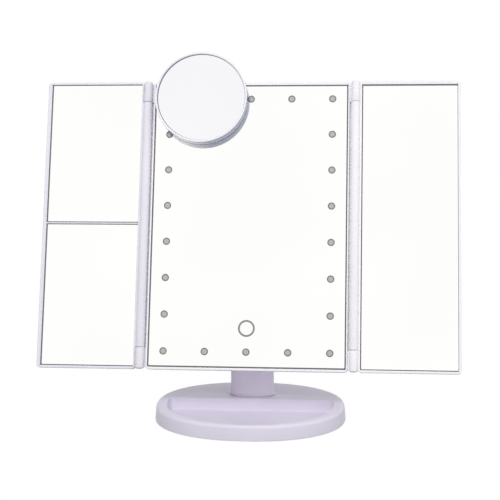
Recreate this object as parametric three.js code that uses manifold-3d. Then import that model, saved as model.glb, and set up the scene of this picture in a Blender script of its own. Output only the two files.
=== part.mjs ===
// Lighted tri-fold makeup mirror: a main mirror with round light windows and a touch ring,
// two folding side mirrors, a small round magnifying mirror held on by suction cups,
// and an oval base with a half-moon tray.
//
// Millimetres, +Z up. The user looks along +Y, so every mirror faces -Y.
// The origin is the centre of the footprint, level with the undersides of the rubber feet.
// Inside the head, y is the distance behind the main glass face and z runs up the glass.

import * as THREE from 'three';
import { mergeVertices } from 'three/addons/utils/BufferGeometryUtils.js';
import Module from 'manifold-3d';

const wasm = await Module();
wasm.setup();

// Clearances
const FIT = 0.3; // between pieces that seat on or in each other
const SWING = 0.3; // beside a wing's edge as it turns
const EXTRA = 1; // how far a cutter runs past the face it cuts

// Base
const BASE_HALF_W = 81.5;
const BASE_HALF_D = 57.8;
const BASE_OVAL_POWER = 2.19; // 2 would be a true ellipse, more is squarer
const BASE_H = 13;
const BASE_DRAFT = 0.9;
const BASE_FILLET = 2.8;
const BASE_WALL = 2.2;
const BASE_EDGE = 0.5;
const BASE_PLATE_T = 1;
const TRAY_RIM_SIDE = 10.1; // base edge to tray edge
const TRAY_RIM_FRONT = 5.8;
const TRAY_BACK_AT = 0.1763; // of the base's half depth, behind its middle
const TRAY_DRAFT = 1.2;
const TRAY_FLOOR_T = 1;
const TRAY_WALL = 1.6;
const SOCKET_WALL = 2;
const BALLAST_T = 6.4;
const FOOT_H = 1.2;
const FOOT_R = 6;
const FOOT_FRONT_AT = [0.59, -0.63]; // of the base's half width and half depth
const FOOT_REAR_AT = [0.42, 0.73];
const BASE_SCREW_AT = [0.71, 0.41];
const BASE_SCREW_HEAD_R = 3;
const BASE_SCREW_HEAD_T = 0.6;
const BASE_SCREW_RISE = 7;

// Stem
const STEM_AT = 0.4076; // of the base's half depth, behind its middle
const STEM_HALF_W = 18.75;
const STEM_HALF_D = 8;
const STEM_TOP_HALF_W = 13;
const STEM_TOP_HALF_D = 6.4;
const STEM_WALL = 2;
const STEM_STRAIGHT_H = 28;
const COLLAR_PROUD = 1.1;
const COLLAR_H = 1.4;
const PLUG_RISE = 19;
const PLUG_DROP = 10.6;
const LOWER_SCREW_RISE = 12;
const UPPER_SCREW_DROP = 13;
const TONGUE_H = 25;

// Small screws
const SCREW_R = 1.3;
const SCREW_HEAD_R = 2.6;
const SCREW_HEAD_T = 1.5;
const BOSS_R = 3.2;

// Tilt hinge
const PIVOT_RISE = 119.1; // above the base's deck
const HEAD_TILT = 20.4; // degrees back from upright
const PIVOT_BEHIND = 29; // behind the main glass face
const PIVOT_BELOW = 27.3; // below the middle of the main glass
const SHAFT_R = 2.8;
const SHAFT_HEAD_R = 5;
const SHAFT_HEAD_T = 2;
const SHAFT_TAIL = 1.2;
const NUT_R = 5.2;
const NUT_T = 3.2;
const TILT_BARREL_R = 7;
const TILT_BARREL_HALF = 13;
const WASHER_R = 6.2;
const WASHER_T = 1;
const LUG_T = 5;
const LUG_R = 8.5;
const BRACKET_HALF_W = 23;
const BRACKET_HALF_H = 17;
const BRACKET_T = 2.5;
const BRACKET_SCREW = { x: 17.6, z: 12.9 };

// Main panel
const GLASS_T = 2;
const GLASS_CORNER_R = 1;
const MAIN_GLASS_W = 163.1;
const MAIN_GLASS_H = 239.5;
const RIM = 2.1;
const RIM_NARROW = 1.3; // beside a hinge
const RIM_PROUD = 0.6;
const RIM_CHAMFER = 0.7;
const BACKING_T = 1.2;
const LEDGE_W = 3;
const LEDGE_T = 1.4;
const MAIN_RIM_BACK = 8.3;
const COVER_T = 1.6;
const COVER_CHAMFER = 0.8;
const COVER_SCREW_INSET = 6.6;

// Lights and touch ring
const LED_SIDE_INSET = 12.75; // glass edge to the outer lights
const LED_END_INSET = 12.85;
const LED_ROWS = 8;
const LED_COLUMNS = 5;
const LED_HOLE_R = 3.3;
const LED_CHIP = 3.6;
const LED_CHIP_T = 1.2;
const LED_BOARD_W = 8;
const LED_BOARD_T = 1.2;
const LED_BOARD_END = 5;
const TOUCH_RISE = 32.35; // above the glass's bottom edge
const TOUCH_PAD_R = 7;

// Rear housing, batteries and controls
const HOUSING_HALF_W = 50;
const HOUSING_HALF_H = 65;
const HOUSING_Z = 5;
const HOUSING_BACK = 18.5;
const HOUSING_R = 6;
const HOUSING_DRAFT = 1;
const HOUSING_CHAMFER = 2;
const HOUSING_WALL = 1.6;
const CELL_R = 5.25;
const CELL_L = 43.3;
const CELL_NUB_R = 1.9;
const CELL_NUB_L = 1.2;
const CELL_COUNT = 4;
const CELL_GAP = 0.4;
const BAY_DROP = 32; // below the housing's top
const BAY_WALL = 3;
const BAY_FLOOR_T = 1.2;
const CONTACT_T = 0.8;
const CONTACT_REACH = 2.8;
const CONTACT_R = 2;
const DOOR_T = 1.6;
const DOOR_LIP = 1.3;
const BOARD_T = 1.2;
const BOARD_W = 26;
const BOARD_H = 35;
const BOARD_SIDE_INSET = 4; // from the housing's outside
const BOARD_END_INSET = 6;
const BOARD_BEHIND = 11.2;
const SWITCH_BODY_W = 11;
const SWITCH_BODY_H = 4.4;
const SWITCH_BODY_T = 2.4;
const SWITCH_DROP = 8; // below the board's top edge
const SLIDER = { w: 4.4, h: 3.2, proud: 1.2 };
const SLIDER_TRAVEL = 3;
const USB_RISE = 11; // above the board's bottom edge
const USB = { w: 7.6, t: 2.9, length: 5.6, mouthW: 6.6, mouthT: 1.5, mouthDepth: 4 };
const USB_OPENING_W = 10.6;
const USB_OPENING_T = 6;

// Wings and their hinges
const HINGE_Y = -0.8;
const HINGE_GAP = 1.3;
const BARREL_R = 3.7;
const KNUCKLE_L = 17.85;
const KNUCKLE_DOME = 1.5;
const SEAM = 0.4;
const PIN_R = 1.1;
const PIN_IN_KNUCKLE = 14;
const PIN_IN_BARREL = 11;
const DOORS_GAP = 2.4;
const WING_RIM_BACK = 6.4;
const WING_BACK_T = 1.5;
const WEB_T = 3.6;
const KNUCKLE_WEB_FRONT = 1.2;
const GUARD_REACH = 2.8; // lip of the main frame behind the gap beside a barrel
const GUARD_FRONT = 3.6;
const GUARD_T = 1.6;
const DIVIDER_Z = -0.15;
const DIVIDER_W = 1.2;

// Round magnifying mirror
const SPOT_SIDE_INSET = 40.15; // main glass edge to the middle of the round mirror
const SPOT_END_INSET = 13.85;
const SPOT_GLASS_R = 38;
const SPOT_GLASS_PROUD = 11.8;
const SPOT_RIM = 0.7;
const SPOT_LIP = 0.4;
const SPOT_TAPER = 0.5;
const SPOT_LEDGE = 3;
const SPOT_FLOOR_T = 1.5;
const SPOT_STAND_OFF = 0.7;
const CUP_POCKET = 2.2;
const CUP_POCKET_WALL = 1.2;
const CUP_R = 10;
const CUP_NECK_R = 3.4;
const CUP_X = 17;

// Worked out from the sizes above
const TRAY_HALF_W = BASE_HALF_W - TRAY_RIM_SIDE;
const TRAY_HALF_D = BASE_HALF_D - TRAY_RIM_FRONT;
const TRAY_BACK_Y = TRAY_BACK_AT * BASE_HALF_D;
const STEM_Y = STEM_AT * BASE_HALF_D;
const BASE_SCREW_X = BASE_SCREW_AT[0] * BASE_HALF_W;
const BASE_SCREW_Y = BASE_SCREW_AT[1] * BASE_HALF_D;
const BASE_TOP = FOOT_H + BASE_H;
const TRAY_FLOOR_Z = FOOT_H + BASE_PLATE_T + FIT + TRAY_FLOOR_T;
const PIVOT_Z = BASE_TOP + PIVOT_RISE;
const PLUG_HALF_W = STEM_HALF_W - STEM_WALL - FIT;
const PLUG_HALF_D = STEM_HALF_D - STEM_WALL - FIT;
const STEM_BOTTOM = BASE_TOP + FIT;
const STEM_TOP = PIVOT_Z - TILT_BARREL_R - EXTRA;
const BORE_R = SHAFT_R + FIT;
const LUG_INNER = TILT_BARREL_HALF + FIT + WASHER_T + FIT;
const MAIN_W = MAIN_GLASS_W + 2 * (FIT + RIM_NARROW);
const MAIN_H = MAIN_GLASS_H + 2 * (FIT + RIM);
const FRAME_CORNER_R = GLASS_CORNER_R + FIT + RIM - RIM_CHAMFER;
const BACKING_FRONT = GLASS_T + FIT;
const LEDGE_FRONT = BACKING_FRONT + BACKING_T + FIT;
const COVER_FRONT = MAIN_RIM_BACK + FIT;
const COVER_BACK = COVER_FRONT + COVER_T;
const LED_COLUMN_X = MAIN_GLASS_W / 2 - LED_SIDE_INSET;
const LED_ROW_Z = MAIN_GLASS_H / 2 - LED_END_INSET;
const TOUCH_Z = TOUCH_RISE - MAIN_GLASS_H / 2;
const LED_BOARD_FRONT = BACKING_FRONT + BACKING_T + FIT;
const HOUSING_INSIDE = HOUSING_BACK - HOUSING_WALL;
const BOARD_X = [HOUSING_HALF_W - BOARD_SIDE_INSET - BOARD_W, HOUSING_HALF_W - BOARD_SIDE_INSET];
const BOARD_BOTTOM = HOUSING_Z - HOUSING_HALF_H + BOARD_END_INSET;
const BOARD_Z = [BOARD_BOTTOM, BOARD_BOTTOM + BOARD_H];
const SWITCH_X = (BOARD_X[0] + BOARD_X[1]) / 2;
const SWITCH_Z = BOARD_Z[1] - SWITCH_DROP;
const USB_Z = BOARD_Z[0] + USB_RISE;
const BAY_Z = HOUSING_Z + HOUSING_HALF_H - BAY_DROP;
const DOOR_FRONT = HOUSING_BACK - DOOR_T;
const CELL_BEHIND = DOOR_FRONT - FIT - CELL_R;
const BAY_FLOOR_BACK = CELL_BEHIND - CELL_R - FIT;
const CELL_PITCH = 2 * CELL_R + CELL_GAP;
const BAY_HALF_W = (CELL_COUNT * CELL_PITCH) / 2 + FIT;
const BAY_HALF_H = (CELL_L + CELL_NUB_L) / 2 + FIT + CONTACT_REACH + CONTACT_T + FIT;
const BRACKET_FRONT = HOUSING_BACK + FIT;
const BRACKET_BACK = BRACKET_FRONT + BRACKET_T;
const HINGE_X = MAIN_W / 2 + HINGE_GAP + BARREL_R;
const WING_NEAR = BARREL_R + SWING;
const WING_W = HINGE_X - DOORS_GAP / 2 - WING_NEAR;
const WING_GLASS_W = WING_W - 2 * FIT - RIM - RIM_NARROW;
const WING_GLASS_REACH = WING_NEAR + RIM_NARROW + FIT + WING_GLASS_W / 2;
const KNUCKLE_SEAM_Z = MAIN_H / 2 - KNUCKLE_L;
const SPOT_X = SPOT_SIDE_INSET - MAIN_GLASS_W / 2;
const SPOT_Z = MAIN_GLASS_H / 2 - SPOT_END_INSET;
const SPOT_RIM_R = SPOT_GLASS_R + FIT + SPOT_RIM;

const ROUND = 16; // sides of a small cylinder
const OVAL_SIDES = 48;
const STEM_SIDES = 24;

// Finishes
const whitePlastic = new THREE.MeshStandardMaterial({ color: 0xe6e2ee, roughness: 0.35, metalness: 0 });
const innerPlastic = new THREE.MeshStandardMaterial({ color: 0xd9d7dc, roughness: 0.6, metalness: 0 });
const mirrorGlass = new THREE.MeshStandardMaterial({ color: 0xf4f7f6, roughness: 0.03, metalness: 1 });
const steel = new THREE.MeshStandardMaterial({ color: 0xb9bbc0, roughness: 0.3, metalness: 1 });
const castSteel = new THREE.MeshStandardMaterial({ color: 0x6f7276, roughness: 0.6, metalness: 0.9 });
const rubber = new THREE.MeshStandardMaterial({ color: 0x8d8c94, roughness: 0.9, metalness: 0 });
const clearRubber = new THREE.MeshStandardMaterial({ color: 0xdfe6ea, roughness: 0.2, metalness: 0 });
const circuitBoard = new THREE.MeshStandardMaterial({ color: 0xf0f0ea, roughness: 0.5, metalness: 0 });
const sensorFoil = new THREE.MeshStandardMaterial({ color: 0xb08a55, roughness: 0.4, metalness: 0.6 });
const cellJacket = new THREE.MeshStandardMaterial({ color: 0x3c4048, roughness: 0.4, metalness: 0.3 });

// Outlines: loops of points, anticlockwise, all convex

function ovalLoop(halfW, halfD, sides = OVAL_SIDES) {
  return Array.from({ length: sides }, (_, i) => {
    const turn = (2 * Math.PI * i) / sides;
    return [halfW * Math.cos(turn), halfD * Math.sin(turn)];
  });
}

function circleLoop(radius, sides = ROUND) {
  return ovalLoop(radius, radius, sides);
}

function roundedLoop(halfW, halfH, radius, steps = 4) {
  const corners = [[1, 1], [-1, 1], [-1, -1], [1, -1]];
  return corners.flatMap(([sideX, sideY], corner) =>
    Array.from({ length: steps + 1 }, (_, i) => {
      const turn = (Math.PI / 2) * (corner + i / steps);
      return [
        sideX * (halfW - radius) + radius * Math.cos(turn),
        sideY * (halfH - radius) + radius * Math.sin(turn),
      ];
    }),
  );
}

function squaredOvalPoint(halfW, halfD, turn) {
  const squared = (value) => Math.sign(value) * Math.abs(value) ** (2 / BASE_OVAL_POWER);
  return [halfW * squared(Math.cos(turn)), halfD * squared(Math.sin(turn))];
}

// The part of a squared oval in front of a straight back edge, or behind a straight front edge
function halfMoonLoop(halfW, halfD, straightY, rear = false) {
  const start = Math.asin((straightY / halfD) ** (BASE_OVAL_POWER / 2));
  const sweep = rear ? Math.PI - 2 * start : Math.PI + 2 * start;
  const first = rear ? start : Math.PI - start;
  const steps = OVAL_SIDES * 0.75;
  return Array.from({ length: steps + 1 }, (_, i) =>
    squaredOvalPoint(halfW, halfD, first + (sweep * i) / steps),
  );
}

// Solids

function solid(geometry) {
  const bare = geometry.clone();
  bare.deleteAttribute('normal');
  bare.deleteAttribute('uv');
  const merged = mergeVertices(bare, 1e-4);
  return new wasm.Manifold(new wasm.Mesh({
    numProp: 3,
    vertProperties: new Float32Array(merged.attributes.position.array),
    triVerts: new Uint32Array(merged.index.array),
  }));
}

// A closed skin over loops of equal length at rising heights
function loft(levels) {
  const count = levels[0][1].length;
  const points = levels.flatMap(([height, loop]) => loop.flatMap(([u, v]) => [u, v, height]));
  const faces = [];
  for (let level = 0; level < levels.length - 1; level += 1) {
    for (let i = 0; i < count; i += 1) {
      const a = level * count + i;
      const b = level * count + ((i + 1) % count);
      faces.push(a, b, b + count, a, b + count, a + count);
    }
  }
  const top = (levels.length - 1) * count;
  for (let i = 1; i < count - 1; i += 1) {
    faces.push(0, i + 1, i);
    faces.push(top, top + i, top + i + 1);
  }
  const geometry = new THREE.BufferGeometry();
  geometry.setAttribute('position', new THREE.Float32BufferAttribute(points, 3));
  geometry.setIndex(faces);
  return geometry;
}

function flatStack(levels, x = 0, y = 0) {
  return solid(loft(levels).translate(x, y, 0));
}

// Loops that stand upright and face the user; levels run from the front to the back
function uprightStack(levels, x = 0, z = 0) {
  const fromBack = levels.map(([behind, loop]) => [-behind, loop]).reverse();
  return solid(loft(fromBack).rotateX(Math.PI / 2).translate(x, 0, z));
}

function box(x, y, z) {
  const size = [x, y, z].map(([low, high]) => high - low);
  const middle = [x, y, z].map(([low, high]) => (high + low) / 2);
  return solid(new THREE.BoxGeometry(...size).translate(...middle));
}

function rodAlong(axis, radius, [from, to], [a, b], sides = ROUND) {
  const geometry = new THREE.CylinderGeometry(radius, radius, to - from, sides);
  const middle = (from + to) / 2;
  if (axis === 'x') return solid(geometry.rotateZ(-Math.PI / 2).translate(middle, a, b));
  if (axis === 'y') return solid(geometry.translate(a, middle, b));
  return solid(geometry.rotateX(Math.PI / 2).translate(a, b, middle));
}

function piece(name, body, material) {
  const { vertProperties, triVerts, numProp } = body.getMesh();
  const positions = [];
  for (let i = 0; i < vertProperties.length; i += numProp) {
    positions.push(vertProperties[i], vertProperties[i + 1], vertProperties[i + 2]);
  }
  const geometry = new THREE.BufferGeometry();
  geometry.setAttribute('position', new THREE.Float32BufferAttribute(positions, 3));
  geometry.setIndex(Array.from(triVerts));
  geometry.computeVertexNormals();
  const mesh = new THREE.Mesh(geometry, material);
  mesh.name = name;
  return mesh;
}

const SIDES = [['left', -1], ['right', 1]];

// Base

function baseOval(inset) {
  return Array.from({ length: OVAL_SIDES }, (_, i) =>
    squaredOvalPoint(BASE_HALF_W - inset, BASE_HALF_D - inset, (2 * Math.PI * i) / OVAL_SIDES),
  );
}

function makeBaseShell() {
  const filletLevels = [0, 45, 90].map((degrees) => {
    const turn = THREE.MathUtils.degToRad(degrees);
    const inset = BASE_DRAFT + BASE_FILLET * (1 - Math.cos(turn));
    return [BASE_TOP - BASE_FILLET * (1 - Math.sin(turn)), baseOval(inset)];
  });
  const outside = flatStack([
    [FOOT_H, baseOval(BASE_EDGE)],
    [FOOT_H + BASE_EDGE, baseOval(0)],
    ...filletLevels,
  ]);
  const inside = flatStack([
    [FOOT_H - EXTRA, baseOval(BASE_WALL)],
    [FOOT_H + BASE_PLATE_T + FIT, baseOval(BASE_WALL)],
    [BASE_TOP - BASE_FILLET, baseOval(BASE_WALL + BASE_DRAFT)],
    [BASE_TOP - BASE_WALL, baseOval(BASE_WALL + BASE_DRAFT + BASE_FILLET / 2)],
  ]);
  const tub = flatStack([
    [TRAY_FLOOR_Z - TRAY_FLOOR_T, trayLoop(TRAY_WALL - TRAY_DRAFT)],
    [BASE_TOP - BASE_WALL / 2, trayLoop(TRAY_WALL)],
  ]);
  const pocket = flatStack([
    [TRAY_FLOOR_Z, trayLoop(-TRAY_DRAFT)],
    [BASE_TOP, trayLoop(0)],
    [BASE_TOP + EXTRA, trayLoop(0)],
  ]);
  const underside = FOOT_H + BASE_PLATE_T + FIT;
  const socketWall = flatStack([
    [underside, ovalLoop(PLUG_HALF_W + FIT + SOCKET_WALL, PLUG_HALF_D + FIT + SOCKET_WALL)],
    [BASE_TOP - EXTRA, ovalLoop(PLUG_HALF_W + FIT + SOCKET_WALL, PLUG_HALF_D + FIT + SOCKET_WALL)],
  ], 0, STEM_Y);
  const socket = flatStack([
    [FOOT_H, ovalLoop(PLUG_HALF_W + FIT, PLUG_HALF_D + FIT)],
    [BASE_TOP + EXTRA, ovalLoop(PLUG_HALF_W + FIT, PLUG_HALF_D + FIT)],
  ], 0, STEM_Y);
  let shell = outside.subtract(inside).add(tub).add(socketWall);
  for (const [, side] of SIDES) {
    const at = [side * BASE_SCREW_X, BASE_SCREW_Y];
    shell = shell.add(rodAlong('z', BOSS_R, [underside, BASE_TOP - EXTRA], at));
    shell = shell.subtract(rodAlong('z', SCREW_R + FIT, [FOOT_H, FOOT_H + BASE_SCREW_RISE + EXTRA], at));
  }
  return shell.subtract(pocket).subtract(socket);
}

function trayLoop(outset) {
  return halfMoonLoop(TRAY_HALF_W + outset, TRAY_HALF_D + outset, TRAY_BACK_Y + outset);
}

function makeBasePlate() {
  let plate = flatStack([
    [FOOT_H, baseOval(BASE_WALL + FIT)],
    [FOOT_H + BASE_PLATE_T, baseOval(BASE_WALL + FIT)],
  ]);
  for (const [, side] of SIDES) {
    const reach = [FOOT_H - EXTRA, FOOT_H + BASE_PLATE_T + EXTRA];
    plate = plate.subtract(rodAlong('z', SCREW_R + FIT, reach, [side * BASE_SCREW_X, BASE_SCREW_Y]));
  }
  return plate;
}

function makeBallast() {
  const bottom = FOOT_H + BASE_PLATE_T + FIT;
  const inset = BASE_WALL + BASE_DRAFT + FIT;
  const front = TRAY_BACK_Y + TRAY_WALL + FIT;
  const outline = halfMoonLoop(BASE_HALF_W - inset, BASE_HALF_D - inset, front, true);
  const reach = [bottom - EXTRA, bottom + BALLAST_T + EXTRA];
  let plate = flatStack([[bottom, outline], [bottom + BALLAST_T, outline]]);
  const socketHalfW = PLUG_HALF_W + FIT + SOCKET_WALL + FIT;
  const socketHalfD = PLUG_HALF_D + FIT + SOCKET_WALL + FIT;
  plate = plate.subtract(flatStack(reach.map((z) => [z, ovalLoop(socketHalfW, socketHalfD)]), 0, STEM_Y));
  for (const [, side] of SIDES) {
    plate = plate.subtract(rodAlong('z', BOSS_R + FIT, reach, [side * BASE_SCREW_X, BASE_SCREW_Y]));
  }
  return plate;
}

function makeBase() {
  const base = new THREE.Group();
  base.add(piece('base_shell', makeBaseShell(), whitePlastic));
  base.add(piece('base_bottom_plate', makeBasePlate(), whitePlastic));
  base.add(piece('base_ballast_plate', makeBallast(), castSteel));
  for (const [sideName, side] of SIDES) {
    for (const [endName, [shareX, shareY]] of [['front', FOOT_FRONT_AT], ['rear', FOOT_REAR_AT]]) {
      const spot = [side * shareX * BASE_HALF_W, shareY * BASE_HALF_D];
      const foot = rodAlong('z', FOOT_R, [0, FOOT_H - FIT], spot);
      base.add(piece(`foot_${endName}_${sideName}`, foot, rubber));
    }
    const at = [side * BASE_SCREW_X, BASE_SCREW_Y];
    const headTop = FOOT_H - FIT;
    const head = rodAlong('z', BASE_SCREW_HEAD_R, [headTop - BASE_SCREW_HEAD_T, headTop], at);
    const shank = rodAlong('z', SCREW_R, [headTop - BASE_SCREW_HEAD_T / 2, FOOT_H + BASE_SCREW_RISE], at, 12);
    base.add(piece(`base_screw_${sideName}`, head.add(shank), steel));
  }
  return base;
}

// Stem

// Half width and half depth of the stem at a height above the deck, less an inset
function stemSection(z, inset = 0) {
  const straightTop = STEM_BOTTOM + STEM_STRAIGHT_H;
  const share = Math.max(0, (z - straightTop) / (STEM_TOP - straightTop));
  const ease = share * share * (3 - 2 * share);
  return [
    THREE.MathUtils.lerp(STEM_HALF_W, STEM_TOP_HALF_W, ease) - inset,
    THREE.MathUtils.lerp(STEM_HALF_D, STEM_TOP_HALF_D, share) - inset,
  ];
}

function stemLevel(z, inset = 0, loopZ = z) {
  return [z, ovalLoop(...stemSection(loopZ, inset), STEM_SIDES)];
}

const STEM_SHARES = [0, 0.35, 0.7, 1];

function stemScrewPlaces() {
  const lower = STEM_BOTTOM + LOWER_SCREW_RISE;
  const upper = STEM_TOP - UPPER_SCREW_DROP;
  return [['lower', lower], ['upper', upper]].map(([name, z]) => {
    const back = STEM_Y + stemSection(z)[1];
    return { name, z, back };
  });
}

function makeStemShells() {
  const straightTop = STEM_BOTTOM + STEM_STRAIGHT_H;
  const heights = STEM_SHARES.map((share) => THREE.MathUtils.lerp(straightTop, STEM_TOP, share));
  const outside = flatStack([
    stemLevel(STEM_BOTTOM, -COLLAR_PROUD),
    stemLevel(STEM_BOTTOM + COLLAR_H, -COLLAR_PROUD),
    stemLevel(STEM_BOTTOM + COLLAR_H + FIT),
    ...heights.map((z) => stemLevel(z)),
  ], 0, STEM_Y);
  const inside = flatStack([
    stemLevel(STEM_BOTTOM - EXTRA, STEM_WALL),
    ...heights.map((z) => stemLevel(z, STEM_WALL)),
    stemLevel(STEM_TOP + EXTRA, STEM_WALL, STEM_TOP),
  ], 0, STEM_Y);
  let shell = outside.subtract(inside);
  for (const { z, back } of stemScrewPlaces()) {
    const depth = back - STEM_Y;
    const frontWall = STEM_Y - depth + STEM_WALL / 2;
    shell = shell.add(rodAlong('y', BOSS_R, [frontWall, STEM_Y], [0, z]));
    shell = shell.add(rodAlong('y', SCREW_HEAD_R + 2 * FIT + SEAM, [STEM_Y, back - STEM_WALL / 2], [0, z]));
    shell = shell.subtract(rodAlong('y', SCREW_R + FIT, [frontWall + EXTRA, back], [0, z]));
    shell = shell.subtract(
      rodAlong('y', SCREW_HEAD_R + FIT, [back - SCREW_HEAD_T - 2 * FIT, back + EXTRA], [0, z]),
    );
  }
  const wide = [-2 * STEM_HALF_W, 2 * STEM_HALF_W];
  const tall = [0, PIVOT_Z];
  const keepFront = box(wide, [STEM_Y - 2 * STEM_HALF_D, STEM_Y - FIT / 2], tall);
  const keepRear = box(wide, [STEM_Y + FIT / 2, STEM_Y + 2 * STEM_HALF_D], tall);
  return [shell.intersect(keepFront), shell.intersect(keepRear)];
}

function makeFootPlug() {
  const outline = ovalLoop(PLUG_HALF_W, PLUG_HALF_D, STEM_SIDES);
  const plug = flatStack([
    [STEM_BOTTOM - PLUG_DROP, ovalLoop(PLUG_HALF_W - EXTRA, PLUG_HALF_D - EXTRA, STEM_SIDES)],
    [STEM_BOTTOM - PLUG_DROP + EXTRA, outline],
    [STEM_BOTTOM + PLUG_RISE, outline],
  ], 0, STEM_Y);
  const [lower] = stemScrewPlaces();
  const reach = [STEM_Y - STEM_HALF_D, STEM_Y + STEM_HALF_D];
  return plug.subtract(rodAlong('y', SCREW_HEAD_R + 3 * FIT + SEAM, reach, [0, lower.z]));
}

function makeTiltBlock() {
  const [halfW, halfD] = stemSection(STEM_TOP, STEM_WALL + FIT);
  const outline = ovalLoop(halfW, halfD, STEM_SIDES);
  const tongue = flatStack([[STEM_TOP - TONGUE_H, outline], [PIVOT_Z - BORE_R - FIT, outline]], 0, STEM_Y);
  const half = TILT_BARREL_HALF;
  const barrel = rodAlong('x', TILT_BARREL_R, [-half, half], [STEM_Y, PIVOT_Z]);
  const bore = rodAlong('x', BORE_R, [-half - EXTRA, half + EXTRA], [STEM_Y, PIVOT_Z]);
  const upper = stemScrewPlaces()[1];
  const reach = [STEM_Y - STEM_HALF_D, STEM_Y + STEM_HALF_D];
  const screwHole = rodAlong('y', SCREW_HEAD_R + 3 * FIT + SEAM, reach, [0, upper.z]);
  return tongue.add(barrel).subtract(bore).subtract(screwHole);
}

function makeStem() {
  const stem = new THREE.Group();
  const [front, rear] = makeStemShells();
  stem.add(piece('stem_front_shell', front, whitePlastic));
  stem.add(piece('stem_rear_shell', rear, whitePlastic));
  stem.add(piece('stem_foot_plug', makeFootPlug(), innerPlastic));
  stem.add(piece('stem_tilt_block', makeTiltBlock(), innerPlastic));
  for (const { name, z, back } of stemScrewPlaces()) {
    const headFront = back - SCREW_HEAD_T - FIT;
    const head = rodAlong('y', SCREW_HEAD_R, [headFront, back - FIT], [0, z]);
    const tip = STEM_Y - (back - STEM_Y) + STEM_WALL + EXTRA;
    const shank = rodAlong('y', SCREW_R, [tip, headFront + SCREW_HEAD_T / 2], [0, z], 12);
    stem.add(piece(`stem_screw_${name}`, head.add(shank), steel));
  }
  return stem;
}

// Tilt hinge, in the head's own frame round the pivot

function makeBracket() {
  const face = PIVOT_BEHIND - BRACKET_BACK;
  const plate = uprightStack([
    [BRACKET_FRONT - PIVOT_BEHIND, roundedLoop(BRACKET_HALF_W, BRACKET_HALF_H, 3)],
    [-face, roundedLoop(BRACKET_HALF_W, BRACKET_HALF_H, 3)],
  ]);
  let bracket = plate;
  for (const [, side] of SIDES) {
    const span = [side * LUG_INNER, side * (LUG_INNER + LUG_T)].sort((a, b) => a - b);
    bracket = bracket.add(box(span, [-face - BRACKET_T / 2, 0], [-LUG_R, LUG_R]));
    bracket = bracket.add(rodAlong('x', LUG_R, span, [0, 0]));
    bracket = bracket.subtract(rodAlong('x', BORE_R, [span[0] - EXTRA, span[1] + EXTRA], [0, 0]));
    const hole = [side * BRACKET_SCREW.x, side * BRACKET_SCREW.z];
    bracket = bracket.subtract(
      rodAlong('y', SCREW_R + FIT, [BRACKET_FRONT - PIVOT_BEHIND - EXTRA, -face + EXTRA], hole),
    );
  }
  return bracket;
}

function makeTiltHinge() {
  const hinge = new THREE.Group();
  hinge.add(piece('tilt_bracket', makeBracket(), whitePlastic));
  const outer = LUG_INNER + LUG_T + FIT;
  const tail = outer + NUT_T + SHAFT_TAIL;
  const shaftHead = rodAlong('x', SHAFT_HEAD_R, [-outer - SHAFT_HEAD_T, -outer], [0, 0]);
  const shaft = rodAlong('x', SHAFT_R, [-outer - SHAFT_HEAD_T / 2, tail], [0, 0]);
  hinge.add(piece('tilt_shaft', shaftHead.add(shaft), steel));
  const nut = rodAlong('x', NUT_R, [outer, outer + NUT_T], [0, 0], 6);
  const nutHole = rodAlong('x', BORE_R, [outer - EXTRA, outer + NUT_T + EXTRA], [0, 0]);
  hinge.add(piece('tilt_nut', nut.subtract(nutHole), steel));
  for (const [sideName, side] of SIDES) {
    const near = TILT_BARREL_HALF + FIT;
    const span = [side * near, side * (near + WASHER_T)].sort((a, b) => a - b);
    const hole = rodAlong('x', BORE_R, [span[0] - EXTRA, span[1] + EXTRA], [0, 0]);
    const washer = rodAlong('x', WASHER_R, span, [0, 0]).subtract(hole);
    hinge.add(piece(`tilt_friction_washer_${sideName}`, washer, steel));
    const face = BRACKET_BACK - PIVOT_BEHIND + FIT;
    const at = [side * BRACKET_SCREW.x, side * BRACKET_SCREW.z];
    const head = rodAlong('y', SCREW_HEAD_R, [face, face + SCREW_HEAD_T], at);
    const tip = HOUSING_INSIDE - BOSS_R - PIVOT_BEHIND;
    const shank = rodAlong('y', SCREW_R, [tip, face + SCREW_HEAD_T / 2], at, 12);
    hinge.add(piece(`bracket_screw_${side > 0 ? 'upper' : 'lower'}`, head.add(shank), steel));
  }
  return hinge;
}

// Main panel, in the frame of its glass

function frameLoop(width, height, inset = 0) {
  return roundedLoop(width / 2 - inset, height / 2 - inset, Math.max(FRAME_CORNER_R - inset, 0.4));
}

// A moulded rim round a glass of this size, with an inner ledge; sides are the rim's left and right widths
function makeRim(glassW, glassH, sides, back, ledgeFront, ledgeBack) {
  const outerW = glassW + 2 * FIT + sides[0] + sides[1];
  const outerH = glassH + 2 * (FIT + RIM);
  const outside = uprightStack([
    [-RIM_PROUD, frameLoop(outerW, outerH, RIM_CHAMFER)],
    [-RIM_PROUD + RIM_CHAMFER, frameLoop(outerW, outerH)],
    [back, frameLoop(outerW, outerH)],
  ], (sides[1] - sides[0]) / 2);
  const opening = roundedLoop(glassW / 2 + FIT, glassH / 2 + FIT, GLASS_CORNER_R + FIT);
  const inside = uprightStack([[-RIM_PROUD - EXTRA, opening], [back + EXTRA, opening]]);
  const seat = roundedLoop(glassW / 2 + FIT + RIM / 2, glassH / 2 + FIT + RIM / 2, GLASS_CORNER_R + RIM / 2);
  const window = roundedLoop(glassW / 2 + FIT - LEDGE_W, glassH / 2 + FIT - LEDGE_W, GLASS_CORNER_R);
  const ledge = uprightStack([[ledgeFront, seat], [ledgeBack, seat]]).subtract(
    uprightStack([[ledgeFront - EXTRA, window], [ledgeBack + EXTRA, window]]),
  );
  return outside.subtract(inside).add(ledge);
}

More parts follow.
